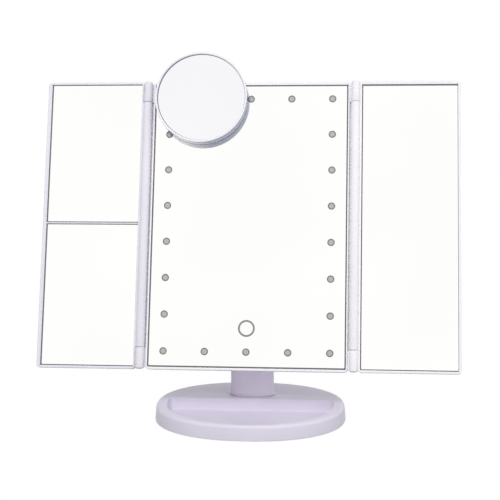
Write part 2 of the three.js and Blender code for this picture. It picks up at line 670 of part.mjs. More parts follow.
function coverScrewPlaces() {
  const x = MAIN_W / 2 - COVER_SCREW_INSET;
  const z = MAIN_H / 2 - COVER_SCREW_INSET;
  return [
    ['top_left', -x, z], ['top_right', x, z], ['bottom_left', -x, -z], ['bottom_right', x, -z],
  ];
}

// An end knuckle stands on the seam and its far end is domed
function makeKnuckle(side, end) {
  const dome = KNUCKLE_L - KNUCKLE_DOME;
  const body = loft([
    [0, circleLoop(BARREL_R)],
    [dome, circleLoop(BARREL_R)],
    [KNUCKLE_L - KNUCKLE_DOME * 0.4, circleLoop(BARREL_R * 0.86)],
    [KNUCKLE_L, circleLoop(BARREL_R * 0.55)],
  ]);
  if (end < 0) body.rotateX(Math.PI);
  const x = side * HINGE_X;
  body.translate(x, HINGE_Y, end * KNUCKLE_SEAM_Z);
  const seam = end * KNUCKLE_SEAM_Z;
  const low = Math.min(seam, seam + end * dome);
  const high = Math.max(seam, seam + end * dome);
  const webX = [side * (MAIN_W / 2 - RIM_NARROW / 2), x].sort((a, b) => a - b);
  const web = box(webX, [KNUCKLE_WEB_FRONT, HINGE_Y + WEB_T], [low, high]);
  const depth = [seam - end * EXTRA, seam + end * (PIN_IN_KNUCKLE + FIT)].sort((a, b) => a - b);
  return { body: solid(body).add(web), hole: rodAlong('z', PIN_R + FIT, depth, [x, HINGE_Y], 16) };
}

function makeMainFrame() {
  const rims = [RIM_NARROW, RIM_NARROW];
  let frame = makeRim(MAIN_GLASS_W, MAIN_GLASS_H, rims, MAIN_RIM_BACK, LEDGE_FRONT, LEDGE_FRONT + LEDGE_T);
  for (const [, x, z] of coverScrewPlaces()) {
    const bore = [LEDGE_FRONT + FIT, MAIN_RIM_BACK + EXTRA];
    frame = frame.add(rodAlong('y', BOSS_R, [LEDGE_FRONT, MAIN_RIM_BACK], [x, z], 16));
    frame = frame.subtract(rodAlong('y', SCREW_R + FIT, bore, [x, z], 12));
  }
  for (const [, side] of SIDES) {
    for (const end of [-1, 1]) {
      const { body, hole } = makeKnuckle(side, end);
      frame = frame.add(body).subtract(hole);
    }
    const guard = [MAIN_W / 2 - RIM_NARROW / 2, MAIN_W / 2 + GUARD_REACH];
    const guardX = guard.map((x) => side * x).sort((a, b) => a - b);
    const guardZ = KNUCKLE_SEAM_Z + GUARD_REACH;
    frame = frame.add(box(guardX, [GUARD_FRONT, GUARD_FRONT + GUARD_T], [-guardZ, guardZ]));
  }
  return frame;
}

function glassSlab(width, height, x = 0, z = 0) {
  const loop = roundedLoop(width / 2, height / 2, GLASS_CORNER_R, 2);
  return uprightStack([[0, loop], [GLASS_T, loop]], x, z);
}

function ledColumnHeights() {
  return Array.from({ length: LED_ROWS }, (_, i) =>
    THREE.MathUtils.lerp(-LED_ROW_Z, LED_ROW_Z, i / (LED_ROWS - 1)));
}

// Columns between the two outer ones, which belong to the side boards
function ledRowPlaces() {
  return Array.from({ length: LED_COLUMNS - 2 }, (_, i) =>
    THREE.MathUtils.lerp(-LED_COLUMN_X, LED_COLUMN_X, (i + 1) / (LED_COLUMNS - 1)));
}

function ledPlaces() {
  const sides = ledColumnHeights().flatMap((z) => [[-LED_COLUMN_X, z], [LED_COLUMN_X, z]]);
  const rows = ledRowPlaces().flatMap((x) => [[x, -LED_ROW_Z], [x, LED_ROW_Z]]);
  return [...sides, ...rows];
}

function makeBackingPlate() {
  const loop = roundedLoop(MAIN_GLASS_W / 2, MAIN_GLASS_H / 2, GLASS_CORNER_R, 2);
  const back = BACKING_FRONT + BACKING_T;
  const reach = [BACKING_FRONT - EXTRA, back + EXTRA];
  let plate = uprightStack([[BACKING_FRONT, loop], [back, loop]]);
  for (const place of ledPlaces()) {
    plate = plate.subtract(rodAlong('y', LED_HOLE_R, reach, place, 8));
  }
  return plate.subtract(rodAlong('y', TOUCH_PAD_R + FIT, reach, [0, TOUCH_Z]));
}

function makeLedBoard(xSpan, zSpan, places) {
  const back = LED_BOARD_FRONT + LED_BOARD_T;
  let board = box(xSpan, [LED_BOARD_FRONT, back], zSpan);
  for (const [x, z] of places) {
    const half = LED_CHIP / 2;
    const chip = box([x - half, x + half], [LED_BOARD_FRONT - LED_CHIP_T, back - FIT], [z - half, z + half]);
    board = board.add(chip);
  }
  return board;
}

function addLedBoards(panel) {
  const half = LED_BOARD_W / 2;
  for (const [sideName, side] of SIDES) {
    const x = side * LED_COLUMN_X;
    const reach = LED_ROW_Z + LED_BOARD_END;
    const places = ledColumnHeights().map((z) => [x, z]);
    const board = makeLedBoard([x - half, x + half], [-reach, reach], places);
    panel.add(piece(`led_board_${sideName}`, board, circuitBoard));
  }
  for (const [endName, end] of [['bottom', -1], ['top', 1]]) {
    const z = end * LED_ROW_Z;
    const reach = LED_COLUMN_X - half - FIT;
    const places = ledRowPlaces().map((x) => [x, z]);
    const board = makeLedBoard([-reach, reach], [z - half, z + half], places);
    panel.add(piece(`led_board_${endName}`, board, circuitBoard));
  }
}

// Rear cover with its raised housing

function housingLoop(inset) {
  return roundedLoop(HOUSING_HALF_W - inset, HOUSING_HALF_H - inset, Math.max(HOUSING_R - inset, 1));
}

function makeRearCover() {
  const sheet = uprightStack([
    [COVER_FRONT, frameLoop(MAIN_W, MAIN_H)],
    [COVER_BACK - COVER_CHAMFER, frameLoop(MAIN_W, MAIN_H)],
    [COVER_BACK, frameLoop(MAIN_W, MAIN_H, COVER_CHAMFER)],
  ]);
  const housing = uprightStack([
    [COVER_BACK - COVER_T / 2, housingLoop(0)],
    [HOUSING_BACK - HOUSING_CHAMFER, housingLoop(HOUSING_DRAFT)],
    [HOUSING_BACK, housingLoop(HOUSING_DRAFT + HOUSING_CHAMFER)],
  ], 0, HOUSING_Z);
  const hollow = uprightStack([
    [COVER_FRONT - EXTRA, housingLoop(HOUSING_WALL)],
    [HOUSING_INSIDE - HOUSING_CHAMFER, housingLoop(HOUSING_WALL + HOUSING_DRAFT)],
    [HOUSING_INSIDE, housingLoop(HOUSING_WALL + HOUSING_DRAFT + HOUSING_CHAMFER)],
  ], 0, HOUSING_Z);
  const bayX = [-BAY_HALF_W - BAY_WALL, BAY_HALF_W + BAY_WALL];
  const bayZ = [BAY_Z - BAY_HALF_H - BAY_WALL, BAY_Z + BAY_HALF_H + BAY_WALL];
  const tub = box(bayX, [BAY_FLOOR_BACK - BAY_FLOOR_T, HOUSING_BACK - FIT], bayZ);
  const bay = box(
    [-BAY_HALF_W, BAY_HALF_W],
    [BAY_FLOOR_BACK, HOUSING_BACK + EXTRA],
    [BAY_Z - BAY_HALF_H, BAY_Z + BAY_HALF_H],
  );
  const lip = DOOR_LIP + FIT;
  const doorRecess = box(
    [-BAY_HALF_W - lip, BAY_HALF_W + lip],
    [DOOR_FRONT - FIT, HOUSING_BACK + EXTRA],
    [BAY_Z - BAY_HALF_H - lip, BAY_Z + BAY_HALF_H + lip],
  );
  let cover = sheet.add(housing).subtract(hollow).add(tub).subtract(bay).subtract(doorRecess);
  const coverReach = [COVER_FRONT - EXTRA, COVER_BACK + EXTRA];
  for (const [, x, z] of coverScrewPlaces()) {
    cover = cover.subtract(rodAlong('y', SCREW_R + FIT, coverReach, [x, z], 12));
  }
  for (const [, side] of SIDES) {
    const at = [side * BRACKET_SCREW.x, side * BRACKET_SCREW.z - PIVOT_BELOW];
    const tip = HOUSING_INSIDE - BOSS_R - 2 * EXTRA;
    cover = cover.add(rodAlong('y', BOSS_R, [tip, HOUSING_INSIDE + EXTRA / 2], at, 16));
    cover = cover.subtract(rodAlong('y', SCREW_R + FIT, [tip + FIT, HOUSING_BACK + EXTRA], at, 12));
  }
  for (const x of BOARD_X) {
    for (const z of BOARD_Z) {
      const at = [x + (x === BOARD_X[0] ? BOSS_R : -BOSS_R), z + (z === BOARD_Z[0] ? BOSS_R : -BOSS_R)];
      const post = [BOARD_BEHIND + BOARD_T + FIT, HOUSING_INSIDE + EXTRA / 2];
      cover = cover.add(rodAlong('y', BOSS_R * 0.7, post, at, 12));
    }
  }
  const slotHalf = SLIDER.w / 2 + SEAM;
  const slot = box(
    [SWITCH_X - slotHalf, SWITCH_X + SLIDER_TRAVEL + slotHalf],
    [HOUSING_INSIDE - EXTRA, HOUSING_BACK + EXTRA],
    [SWITCH_Z - SLIDER.h / 2 - SEAM, SWITCH_Z + SLIDER.h / 2 + SEAM],
  );
  const usbMiddle = BOARD_BEHIND + BOARD_T + FIT + USB.t / 2;
  const usbOpening = box(
    [HOUSING_HALF_W - HOUSING_WALL - 3 * EXTRA, HOUSING_HALF_W + EXTRA],
    [usbMiddle - USB_OPENING_T / 2 + EXTRA / 2, usbMiddle + USB_OPENING_T / 2 - EXTRA / 2],
    [USB_Z - USB_OPENING_W / 2, USB_Z + USB_OPENING_W / 2],
  );
  return cover.subtract(slot).subtract(usbOpening);
}

function addBatteries(panel) {
  const bottom = BAY_Z - (CELL_L + CELL_NUB_L) / 2;
  for (let i = 0; i < CELL_COUNT; i += 1) {
    const x = (i - (CELL_COUNT - 1) / 2) * CELL_PITCH;
    const flip = i % 2 === 1;
    const start = flip ? bottom + CELL_NUB_L : bottom;
    const can = rodAlong('z', CELL_R, [start, start + CELL_L], [x, CELL_BEHIND], 20);
    const nubSpan = flip ? [bottom, start + EXTRA] : [start + CELL_L - EXTRA, start + CELL_L + CELL_NUB_L];
    const nub = rodAlong('z', CELL_NUB_R, nubSpan, [x, CELL_BEHIND], 12);
    panel.add(piece(`battery_cell_${i + 1}`, can.add(nub), cellJacket));
  }
  for (const [endName, end] of [['bottom', -1], ['top', 1]]) {
    const wall = BAY_Z + end * (BAY_HALF_H - FIT);
    const inner = wall - end * CONTACT_T;
    const halfW = BAY_HALF_W - FIT;
    const depth = [CELL_BEHIND - CELL_R + FIT, CELL_BEHIND + CELL_R - FIT];
    let strip = box([-halfW, halfW], depth, [wall, inner].sort((a, b) => a - b));
    for (let i = 0; i < CELL_COUNT; i += 1) {
      const x = (i - (CELL_COUNT - 1) / 2) * CELL_PITCH;
      const span = [inner + (end * CONTACT_T) / 2, inner - end * CONTACT_REACH].sort((a, b) => a - b);
      strip = strip.add(rodAlong('z', CONTACT_R, span, [x, CELL_BEHIND], 12));
    }
    panel.add(piece(`battery_contacts_${endName}`, strip, steel));
  }
  const halfW = BAY_HALF_W + DOOR_LIP;
  const halfH = BAY_HALF_H + DOOR_LIP;
  const door = box([-halfW, halfW], [DOOR_FRONT, HOUSING_BACK], [BAY_Z - halfH, BAY_Z + halfH]);
  panel.add(piece('battery_door', door, whitePlastic));
}

function addControls(panel) {
  const boardBack = BOARD_BEHIND + BOARD_T;
  const board = box(BOARD_X, [BOARD_BEHIND, boardBack], BOARD_Z);
  const switchBody = box(
    [SWITCH_X - SWITCH_BODY_W / 2 + SLIDER_TRAVEL / 2, SWITCH_X + SWITCH_BODY_W / 2 + SLIDER_TRAVEL / 2],
    [boardBack - FIT, boardBack + SWITCH_BODY_T],
    [SWITCH_Z - SWITCH_BODY_H / 2, SWITCH_Z + SWITCH_BODY_H / 2],
  );
  panel.add(piece('control_board', board.add(switchBody), circuitBoard));
  const slider = box(
    [SWITCH_X - SLIDER.w / 2, SWITCH_X + SLIDER.w / 2],
    [boardBack + SWITCH_BODY_T + FIT, HOUSING_BACK + SLIDER.proud],
    [SWITCH_Z - SLIDER.h / 2, SWITCH_Z + SLIDER.h / 2],
  );
  panel.add(piece('power_switch_slider', slider, rubber));
  const usbFront = boardBack + FIT;
  const mouthMiddle = usbFront + USB.t / 2;
  const mouthX = HOUSING_HALF_W - HOUSING_DRAFT;
  const socket = box(
    [mouthX - USB.length, mouthX],
    [usbFront, usbFront + USB.t],
    [USB_Z - USB.w / 2, USB_Z + USB.w / 2],
  );
  const mouth = box(
    [mouthX - USB.mouthDepth, mouthX + EXTRA],
    [mouthMiddle - USB.mouthT / 2, mouthMiddle + USB.mouthT / 2],
    [USB_Z - USB.mouthW / 2, USB_Z + USB.mouthW / 2],
  );
  panel.add(piece('usb_inlet', socket.subtract(mouth), steel));
}

function makeMainPanel() {
  const panel = new THREE.Group();
  panel.add(piece('main_front_frame', makeMainFrame(), whitePlastic));
  panel.add(piece('main_mirror_glass', glassSlab(MAIN_GLASS_W, MAIN_GLASS_H), mirrorGlass));
  panel.add(piece('main_backing_plate', makeBackingPlate(), innerPlastic));
  const pad = rodAlong('y', TOUCH_PAD_R, [BACKING_FRONT, BACKING_FRONT + BACKING_T], [0, TOUCH_Z]);
  panel.add(piece('touch_sensor_pad', pad, sensorFoil));
  addLedBoards(panel);
  panel.add(piece('main_rear_cover', makeRearCover(), whitePlastic));
  addBatteries(panel);
  addControls(panel);
  for (const [name, x, z] of coverScrewPlaces()) {
    const head = rodAlong('y', SCREW_HEAD_R, [COVER_BACK + FIT, COVER_BACK + FIT + SCREW_HEAD_T], [x, z], 16);
    const shank = rodAlong('y', SCREW_R, [LEDGE_FRONT + LEDGE_T, COVER_BACK + SCREW_HEAD_T], [x, z], 12);
    panel.add(piece(`cover_screw_${name}`, head.add(shank), steel));
  }
  for (const [sideName, side] of SIDES) {
    for (const [endName, end] of [['bottom', -1], ['top', 1]]) {
      const seam = end * KNUCKLE_SEAM_Z;
      const span = [seam - end * PIN_IN_BARREL, seam + end * PIN_IN_KNUCKLE].sort((a, b) => a - b);
      const pin = rodAlong('z', PIN_R, span, [side * HINGE_X, HINGE_Y], 16);
      panel.add(piece(`${sideName}_hinge_pin_${endName}`, pin, steel));
    }
  }
  return panel;
}

// Wings: each leaf is built round the middle of its glass, beside its hinge barrel

function makeWingFrame(side, hasDivider) {
  const ledgeBack = WING_RIM_BACK - WING_BACK_T - FIT;
  const rims = side > 0 ? [RIM_NARROW, RIM] : [RIM, RIM_NARROW];
  let frame = makeRim(WING_GLASS_W, MAIN_GLASS_H, rims, WING_RIM_BACK, GLASS_T + FIT, ledgeBack);
  if (hasDivider) {
    const half = DIVIDER_W / 2;
    const reach = WING_GLASS_W / 2 + FIT + RIM_NARROW / 2;
    frame = frame.add(box([-reach, reach], [-FIT, ledgeBack], [DIVIDER_Z - half, DIVIDER_Z + half]));
  }
  const axisX = -side * WING_GLASS_REACH;
  const reach = KNUCKLE_SEAM_Z - SEAM;
  const webX = [axisX, axisX + side * (WING_NEAR + RIM_NARROW / 2)].sort((a, b) => a - b);
  frame = frame.add(box(webX, [-RIM_PROUD, HINGE_Y + WEB_T], [-reach, reach]));
  frame = frame.add(rodAlong('z', BARREL_R, [-reach, reach], [axisX, HINGE_Y]));
  for (const end of [-1, 1]) {
    const span = [end * (reach - PIN_IN_BARREL), end * (reach + EXTRA)].sort((a, b) => a - b);
    frame = frame.subtract(rodAlong('z', PIN_R + FIT, span, [axisX, HINGE_Y], 16));
  }
  return frame;
}

function makeWingBack() {
  const loop = roundedLoop(WING_GLASS_W / 2, MAIN_GLASS_H / 2, GLASS_CORNER_R, 2);
  return uprightStack([[WING_RIM_BACK - WING_BACK_T, loop], [WING_RIM_BACK, loop]]);
}

function makeWing(sideName, side) {
  const wing = new THREE.Group();
  wing.position.set(side * HINGE_X, HINGE_Y, 0);
  const leaf = new THREE.Group();
  leaf.position.set(side * WING_GLASS_REACH, -HINGE_Y, 0);
  wing.add(leaf);
  const divided = sideName === 'left';
  leaf.add(piece(`${sideName}_wing_frame`, makeWingFrame(side, divided), whitePlastic));
  leaf.add(piece(`${sideName}_wing_back_panel`, makeWingBack(), whitePlastic));
  if (divided) {
    const edge = DIVIDER_W / 2 + FIT;
    const top = MAIN_GLASS_H / 2;
    const spans = [['upper', DIVIDER_Z + edge, top], ['lower', -top, DIVIDER_Z - edge]];
    for (const [name, low, high] of spans) {
      const glass = glassSlab(WING_GLASS_W, high - low, 0, (low + high) / 2);
      leaf.add(piece(`${sideName}_${name}_mirror`, glass, mirrorGlass));
    }
  } else {
    leaf.add(piece(`${sideName}_wing_mirror`, glassSlab(WING_GLASS_W, MAIN_GLASS_H), mirrorGlass));
  }
  return wing;
}

// Round magnifying mirror on its suction cups

function makeSpotMirror() {
  const spot = new THREE.Group();
  spot.position.set(SPOT_X, 0, SPOT_Z);
  const sides = 36;
  const front = -SPOT_GLASS_PROUD;
  const seat = front + GLASS_T + FIT;
  const backR = SPOT_RIM_R - SPOT_TAPER;
  const outside = uprightStack([
    [front - SPOT_LIP, circleLoop(SPOT_RIM_R - SPOT_LIP, sides)],
    [front, circleLoop(SPOT_RIM_R, sides)],
    [-SPOT_STAND_OFF - SPOT_LIP, circleLoop(backR, sides)],
    [-SPOT_STAND_OFF, circleLoop(backR - SPOT_LIP, sides)],
  ]);
  const glassRecess = rodAlong('y', SPOT_GLASS_R + FIT, [front - SPOT_LIP - EXTRA, seat], [0, 0], sides);
  const floorFront = -SPOT_STAND_OFF - SPOT_FLOOR_T;
  const hollow = rodAlong('y', SPOT_GLASS_R - SPOT_LEDGE, [seat - EXTRA, floorFront], [0, 0], sides);
  let shell = outside.subtract(glassRecess).subtract(hollow);
  const pocketFloor = -SPOT_STAND_OFF - CUP_POCKET;
  const bossFront = pocketFloor - SPOT_FLOOR_T;
  const pocketR = CUP_R + FIT;
  for (const [, side] of SIDES) {
    const at = [side * CUP_X, 0];
    shell = shell
      .add(rodAlong('y', pocketR + CUP_POCKET_WALL, [bossFront, floorFront + EXTRA], at))
      .subtract(rodAlong('y', pocketR, [pocketFloor, -SPOT_STAND_OFF + EXTRA], at))
      .subtract(rodAlong('y', CUP_NECK_R + FIT, [bossFront - EXTRA, pocketFloor + EXTRA], at, 16));
  }
  spot.add(piece('spot_mirror_case', shell, whitePlastic));
  const glass = rodAlong('y', SPOT_GLASS_R, [front, front + GLASS_T], [0, 0], sides);
  spot.add(piece('spot_mirror_glass', glass, mirrorGlass));
  for (const [sideName, side] of SIDES) {
    const cup = uprightStack([
      [pocketFloor + FIT, circleLoop(CUP_R * 0.6)],
      [-FIT - CONTACT_T, circleLoop(CUP_R)],
      [-FIT, circleLoop(CUP_R)],
    ], side * CUP_X);
    const studReach = [bossFront, pocketFloor + FIT + EXTRA];
    const stud = rodAlong('y', CUP_NECK_R, studReach, [side * CUP_X, 0], 16);
    spot.add(piece(`spot_suction_cup_${sideName}`, cup.add(stud), clearRubber));
  }
  return spot;
}

// Assembly

const mirror = new THREE.Group();
mirror.add(makeBase());
mirror.add(makeStem());

const head = new THREE.Group();
head.position.set(0, STEM_Y, PIVOT_Z);
head.rotation.x = -THREE.MathUtils.degToRad(HEAD_TILT);
head.add(makeTiltHinge());

const panel = makeMainPanel();
panel.position.set(0, -PIVOT_BEHIND, PIVOT_BELOW);
for (const [sideName, side] of SIDES) panel.add(makeWing(sideName, side));
panel.add(makeSpotMirror());
head.add(panel);
mirror.add(head);

export default mirror;
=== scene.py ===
"""Looks of a lighted tri-fold makeup mirror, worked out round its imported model.

Lengths are millimetres until `mesh_object` turns them into metres. Base and stem pieces are worked
out in the object's own frame. Head pieces are worked out in the frame of the main glass: x to the
right, y behind the glass face and z up the glass. `on_head` then leans them back about the tilt
pivot.
"""

import math

import bmesh
import bpy
import numpy as np
from mathutils import Matrix


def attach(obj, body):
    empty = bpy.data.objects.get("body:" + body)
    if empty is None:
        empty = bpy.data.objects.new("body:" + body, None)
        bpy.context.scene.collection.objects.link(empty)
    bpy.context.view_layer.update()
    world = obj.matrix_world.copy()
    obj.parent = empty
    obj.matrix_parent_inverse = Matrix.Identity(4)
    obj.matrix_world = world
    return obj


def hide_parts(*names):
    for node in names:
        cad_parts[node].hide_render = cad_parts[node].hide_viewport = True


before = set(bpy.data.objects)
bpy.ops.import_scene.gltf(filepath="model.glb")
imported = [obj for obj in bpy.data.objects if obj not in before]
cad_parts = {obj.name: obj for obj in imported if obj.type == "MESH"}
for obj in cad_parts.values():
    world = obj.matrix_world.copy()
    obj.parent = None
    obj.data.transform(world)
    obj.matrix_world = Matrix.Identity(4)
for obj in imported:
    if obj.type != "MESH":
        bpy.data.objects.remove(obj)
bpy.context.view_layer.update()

# Units, clearance, and how points are merged, corners rounded and edges kept sharp
MM = 0.001
FIT = 0.3
MERGE_DISTANCE = 2e-6
LEAST_CORNER = 0.3
CREASE = 35

# Finishes: the grain's depth in metres and features per metre, and where a pattern's ramp runs
GRAIN_DEPTH, GRAIN = 0.00002, 2600
RAMP_LOW, RAMP_HIGH = 0.35, 0.65

# Base
BASE_HALF_W, BASE_HALF_D, BASE_POWER = 81.5, 57.8, 2.19
BASE_BOTTOM, DECK_Z = 1.2, 14.2
BASE_DRAFT, BASE_FILLET = 0.9, 2.8
PLATE_TOP, PLATE_INSET = 2.2, 2.5
FOOT_R, FOOT_H = 6, 0.9
FOOT_PLACES = {"front": (0.59, -0.63), "rear": (0.42, 0.73)}
TRAY_HALF_W, TRAY_HALF_D, TRAY_BACK = 71.4, 52, 10.19
TRAY_FLOOR_Z, TRAY_DRAFT, TRAY_LIP, TRAY_CORNER = 3.5, 1.2, 0.5, 4.5
SOCKET_HALF_W, SOCKET_HALF_D, SOCKET_LIP = 16.75, 6, 0.4

# Foot of the base's wall, as (inset, height)
WALL_FOOT = [
    (2.2, PLATE_TOP + FIT), (2.2, 1.4), (2.0, BASE_BOTTOM), (0.7, BASE_BOTTOM), (0.25, 1.3),
    (0.04, 1.6), (0, 2.1),
]
# Wall of the tray, as (outset, depth below the deck)
TRAY_WALL = [
    (TRAY_LIP, 0), (0.2, 0.08), (0.05, 0.22), (0, 0.5), (-TRAY_DRAFT + 0.1, 9.0),
    (-TRAY_DRAFT - 0.1, 9.9), (-TRAY_DRAFT - 0.45, 10.45), (-TRAY_DRAFT - 1.1, DECK_Z - TRAY_FLOOR_Z),
]

# Stem
STEM_Y = 23.56
STEM_HALF_W, STEM_HALF_D = 18.75, 8
STEM_TOP_HALF_W, STEM_TOP_HALF_D = 13, 6.4
STEM_WALL, STEM_SEAM_TURN = 2, 0.02
STEM_BOTTOM, STEM_STRAIGHT_TOP, STEM_TOP, STEM_LIP_H = 14.5, 42.5, 125.3, 0.4

# Collar at the stem's foot and lip at its top, as (height from that end, how far it stands proud)
COLLAR = [
    (-0.2, 0.75), (0, 0.98), (0.4, 1.1), (1.0, 1.1), (1.25, 0.98), (1.4, 0.7), (1.5, 0.12),
    (1.75, 0), (6, 0),
]
STEM_LIP = [(-0.1, -0.15), (0, -0.4)]

# Screws: heads, cross recesses, shanks, and where they sit
SCREW_HEAD_R, SCREW_HEAD_H, SCREW_EDGE = 2.6, 1.5, 0.15
RECESS_HALF_W, RECESS_R, RECESS_DEPTH = 0.42, 1.55, 0.55
SHANK_R, SHANK_TIP_R, SHANK_TIP = 1.3, 0.7, 0.6
STEM_SCREW_L, STEM_SCREW_SINK, STEM_SCREWS = 12, 1.8, {"lower": 26.5, "upper": 112.3}
STEM_WELL_R, STEM_WELL_DEPTH = 2.9, 2.1
BRACKET_SCREW_L, BRACKET_SCREW = 7, (17.6, 21.6, 12.9)
COVER_SCREW_L, COVER_SCREW_INSET = 5, 6.6

# Tilt hinge, from the pivot
TILT = math.radians(20.4)
PIVOT = np.array([0, STEM_Y, 133.3])
GLASS_FROM_PIVOT = np.array([0, -29, 27.3])
LUG_SPAN, LUG_R, LUG_BACK = (14.6, 19.6), 8.5, -8.9
SHAFT_R, SHAFT_SPAN, SHAFT_HEAD_R, SHAFT_HEAD_SPAN = 2.8, (-20.5, 24.3), 5, (-21.9, -19.9)
NUT_R, NUT_BORE_R, NUT_SPAN, NUT_CHAMFER = 5.2, 3.1, (19.9, 23.1), 0.35
WASHER_R, WASHER_BORE_R, WASHER_SPAN = 6.2, 3.1, (13.3, 14.3)

# Block at the stem's top: barrel and tongue
BLOCK_R, BLOCK_SPAN = 7, (-13, 13)
TONGUE_HALF_W, TONGUE_HALF_D, TONGUE_SPAN = 10.7, 4.1, (100.3, 129.8)

# Head
GLASS_W, GLASS_H, GLASS_T = 163.1, 239.5, 2
RIM, RIM_NARROW, RIM_PROUD, RIM_BACK = 2.1, 1.3, 0.6, 8.3
LEDGE_REACH, MAIN_LEDGE, WING_LEDGE = 3, (3.8, 5.2), (2.3, 4.6)
FRAME_CORNER = 2.7
COVER_FRONT, COVER_BACK = 8.6, 10.2
LIGHT_X, LIGHT_Z, LIGHT_ROWS, LIGHT_COLUMNS = 68.8, 106.9, 8, 5
LIGHT_R, LIGHT_RING = 3.1, 1.0
TOUCH_Z, TOUCH_R, TOUCH_STROKE = -87.4, 7.0, 1.6
SILVER_PROUD, PRINT_PROUD, PRINT_BACK = 0.02, 0.05, 0.2
MAIN_LAP, RIGHT_LAP, LEFT_LAP = 0.7, 0.5, 0.8

# Width of each mirror's dark edge band, the glass's ground edge widened by painted shade of the gap at
# its rim: left, right, bottom and top
MARGINS = {
    "main": (0.9, 0.75, 0.95, 1.85),
    "left_upper_mirror": (2.0, -0.25, 0.4, 0.5),
    "left_lower_mirror": (2.0, -0.25, 0.5, 0.4),
    "right_wing_mirror": (0.6, 0.05, 0.5, 1.85),
}

# Rear of the head: the housing, and limits of blocks along x, y and z
HOUSING_HALF_W, HOUSING_HALF_H, HOUSING_CORNER, HOUSING_Z = 50, 65, 6, 5
HOUSING_DRAFT, HOUSING_FILLET, HOUSING_FILLET_Y = 1, 2, 16.5
BRACKET_PLATE = (-23, 23), (18.8, 21.3), (-44.3, -10.3)
DOOR_RECESS = (-23.7, 23.7), (16.6, 22), (11.25, 64.75)
BATTERY_BAY = (-22.1, 22.1), (5.8, 22), (11.85, 64.15)
SWITCH_SLOT = (30.4, 38.6), (14, 22), (-29, -25)
INLET_OPENING = (43, 55), (11.6, 16.7), (-48.3, -37.7)
DOOR = (-23.4, 23.4), (16.9, 18.5), (11.55, 64.45)
GRIP_X, GRIP_Y, GRIP_T, GRIP_PLACES = (-7, 7), (18.3, 18.85), 0.9, np.arange(55, 61, 1.8)
SLIDER = (30.8, 35.2), (15.1, 18.9), (-28.6, -25.4)
RIDGE_Y, RIDGE_Z, RIDGE_T = (18.7, 19.7), (-28.4, -25.6), 0.5
RIDGE_PLACES = np.arange(31.3, 35, 0.85)

# Hinges and wings
HINGE_X, HINGE_Y = 88.15, -0.8
BARREL_R, SEAM_Z, KNUCKLE_L, KNUCKLE_DOME = 3.7, 104.3, 17.85, 1.5
SEAM = 0.4
KNUCKLE_WEB, KNUCKLE_WEB_FRONT, BARREL_WEB, WEB_BACK = 6, 1.2, 4.8, 2.8
GUARD_REACH, GUARD_FRONT, GUARD_T = 2.8, 3.6, 1.6
WING_X, WING_GLASS_W, WING_BACK = 133.225, 78.95, 6.4
DIVIDER_Z, DIVIDER_W, DIVIDER_Y = -0.15, 1.2, (-0.3, 4.6)

# Round mirror
SPOT_X, SPOT_Z, SPOT_GLASS_R = -41.4, 105.9, 38
SPOT_FRONT, SPOT_BACK, SPOT_FLOOR_R = -11.8, -0.7, 35
SPOT_WALL, SPOT_TAPER, SPOT_LIP, SPOT_BARE = 0.7, 0.5, 0.4, 1.3
SPOT_SIDES = 160
# Dark ring behind the case's wall that paints the contact shadow on the glass
SHADOW_RING_R, SHADOW_RING_Y = (37.4, 38.3), (SPOT_BACK - 0.1, -0.2)
CUP_X, CUP_R, CUP_FRONT, CUP_POCKET = 17, 10, -4.4, 2.2

# Camera, with its yaw, pitch and roll in degrees, light and floor
CAMERA_SPOT, CAMERA_TURNS = (94.75, -972.4, 358.2), (5.48, -12.15, -0.71)
CAMERA_LENS, CAMERA_SENSOR = 86.4, 36
BRIGHT_SIDE, DIMMEST, BRIGHTEST = (0.75, -0.66, 0), 0.05, 1.01
FLOOR_R, FLOOR_BOTTOM, FLOOR_TOP = 4000, -2, -0.02
FLOOR_SHADE, FLOOR_GLOW, FLOOR_GLOW_SHARE = 0.35, 1.14, 0.85


# Surfaces: each is an array of points and lists of faces


def grid(points, around=True, along=False, caps=()):
    """Quads between neighbouring rows of a (rows, columns, 3) array of points.

    around joins the last column to the first, along joins the last row to the first, and caps
    lists the rows, 0 or -1, that are filled with one flat face.
    """
    rows, columns, _ = points.shape
    row = np.arange(rows if along else rows - 1)[:, None]
    step = np.arange(columns if around else columns - 1)[None, :]
    beside, above = (step + 1) % columns, (row + 1) % rows
    here, there = row * columns, above * columns
    corners = [here + step, here + beside, there + beside, there + step]
    quads = np.stack(np.broadcast_arrays(*corners), -1).reshape(-1, 4)
    ends = [(cap % rows) * columns + np.arange(columns) for cap in caps]
    return points.reshape(-1, 3), quads, ends


def column(values):
    """Values as one column, one row per value."""
    return np.asarray(values, float)[:, None]


def soften(corners, reach):
    """Closed outline whose corners become parabolas: corner + before (1 - s)^2 + after s^2.

    before and after point from the corner along its two sides and are reach long, s runs 0 to 1.
    """
    corner = np.asarray(corners, float)
    reach = np.broadcast_to(np.asarray(reach, float), len(corner))[:, None]
    before, after = np.roll(corner, 1, 0) - corner, np.roll(corner, -1, 0) - corner
    before = before / np.linalg.norm(before, axis=1, keepdims=True) * reach
    after = after / np.linalg.norm(after, axis=1, keepdims=True) * reach
    s = np.linspace(0, 1, 5)[None, :, None]
    bends = corner[:, None] + before[:, None] * (1 - s) ** 2 + after[:, None] * s**2
    return bends.reshape(-1, corner.shape[1])


def oval(half_w, half_d, turn, power=2):
    """Points (half_w c, half_d s), where c and s are the cosine and sine of turn raised to 2 / power
    with their signs kept."""
    shares = np.cos(turn), np.sin(turn)
    across, deep = (np.sign(share) * np.abs(share) ** (2 / power) for share in shares)
    return np.stack(np.broadcast_arrays(half_w * across, half_d * deep), -1)


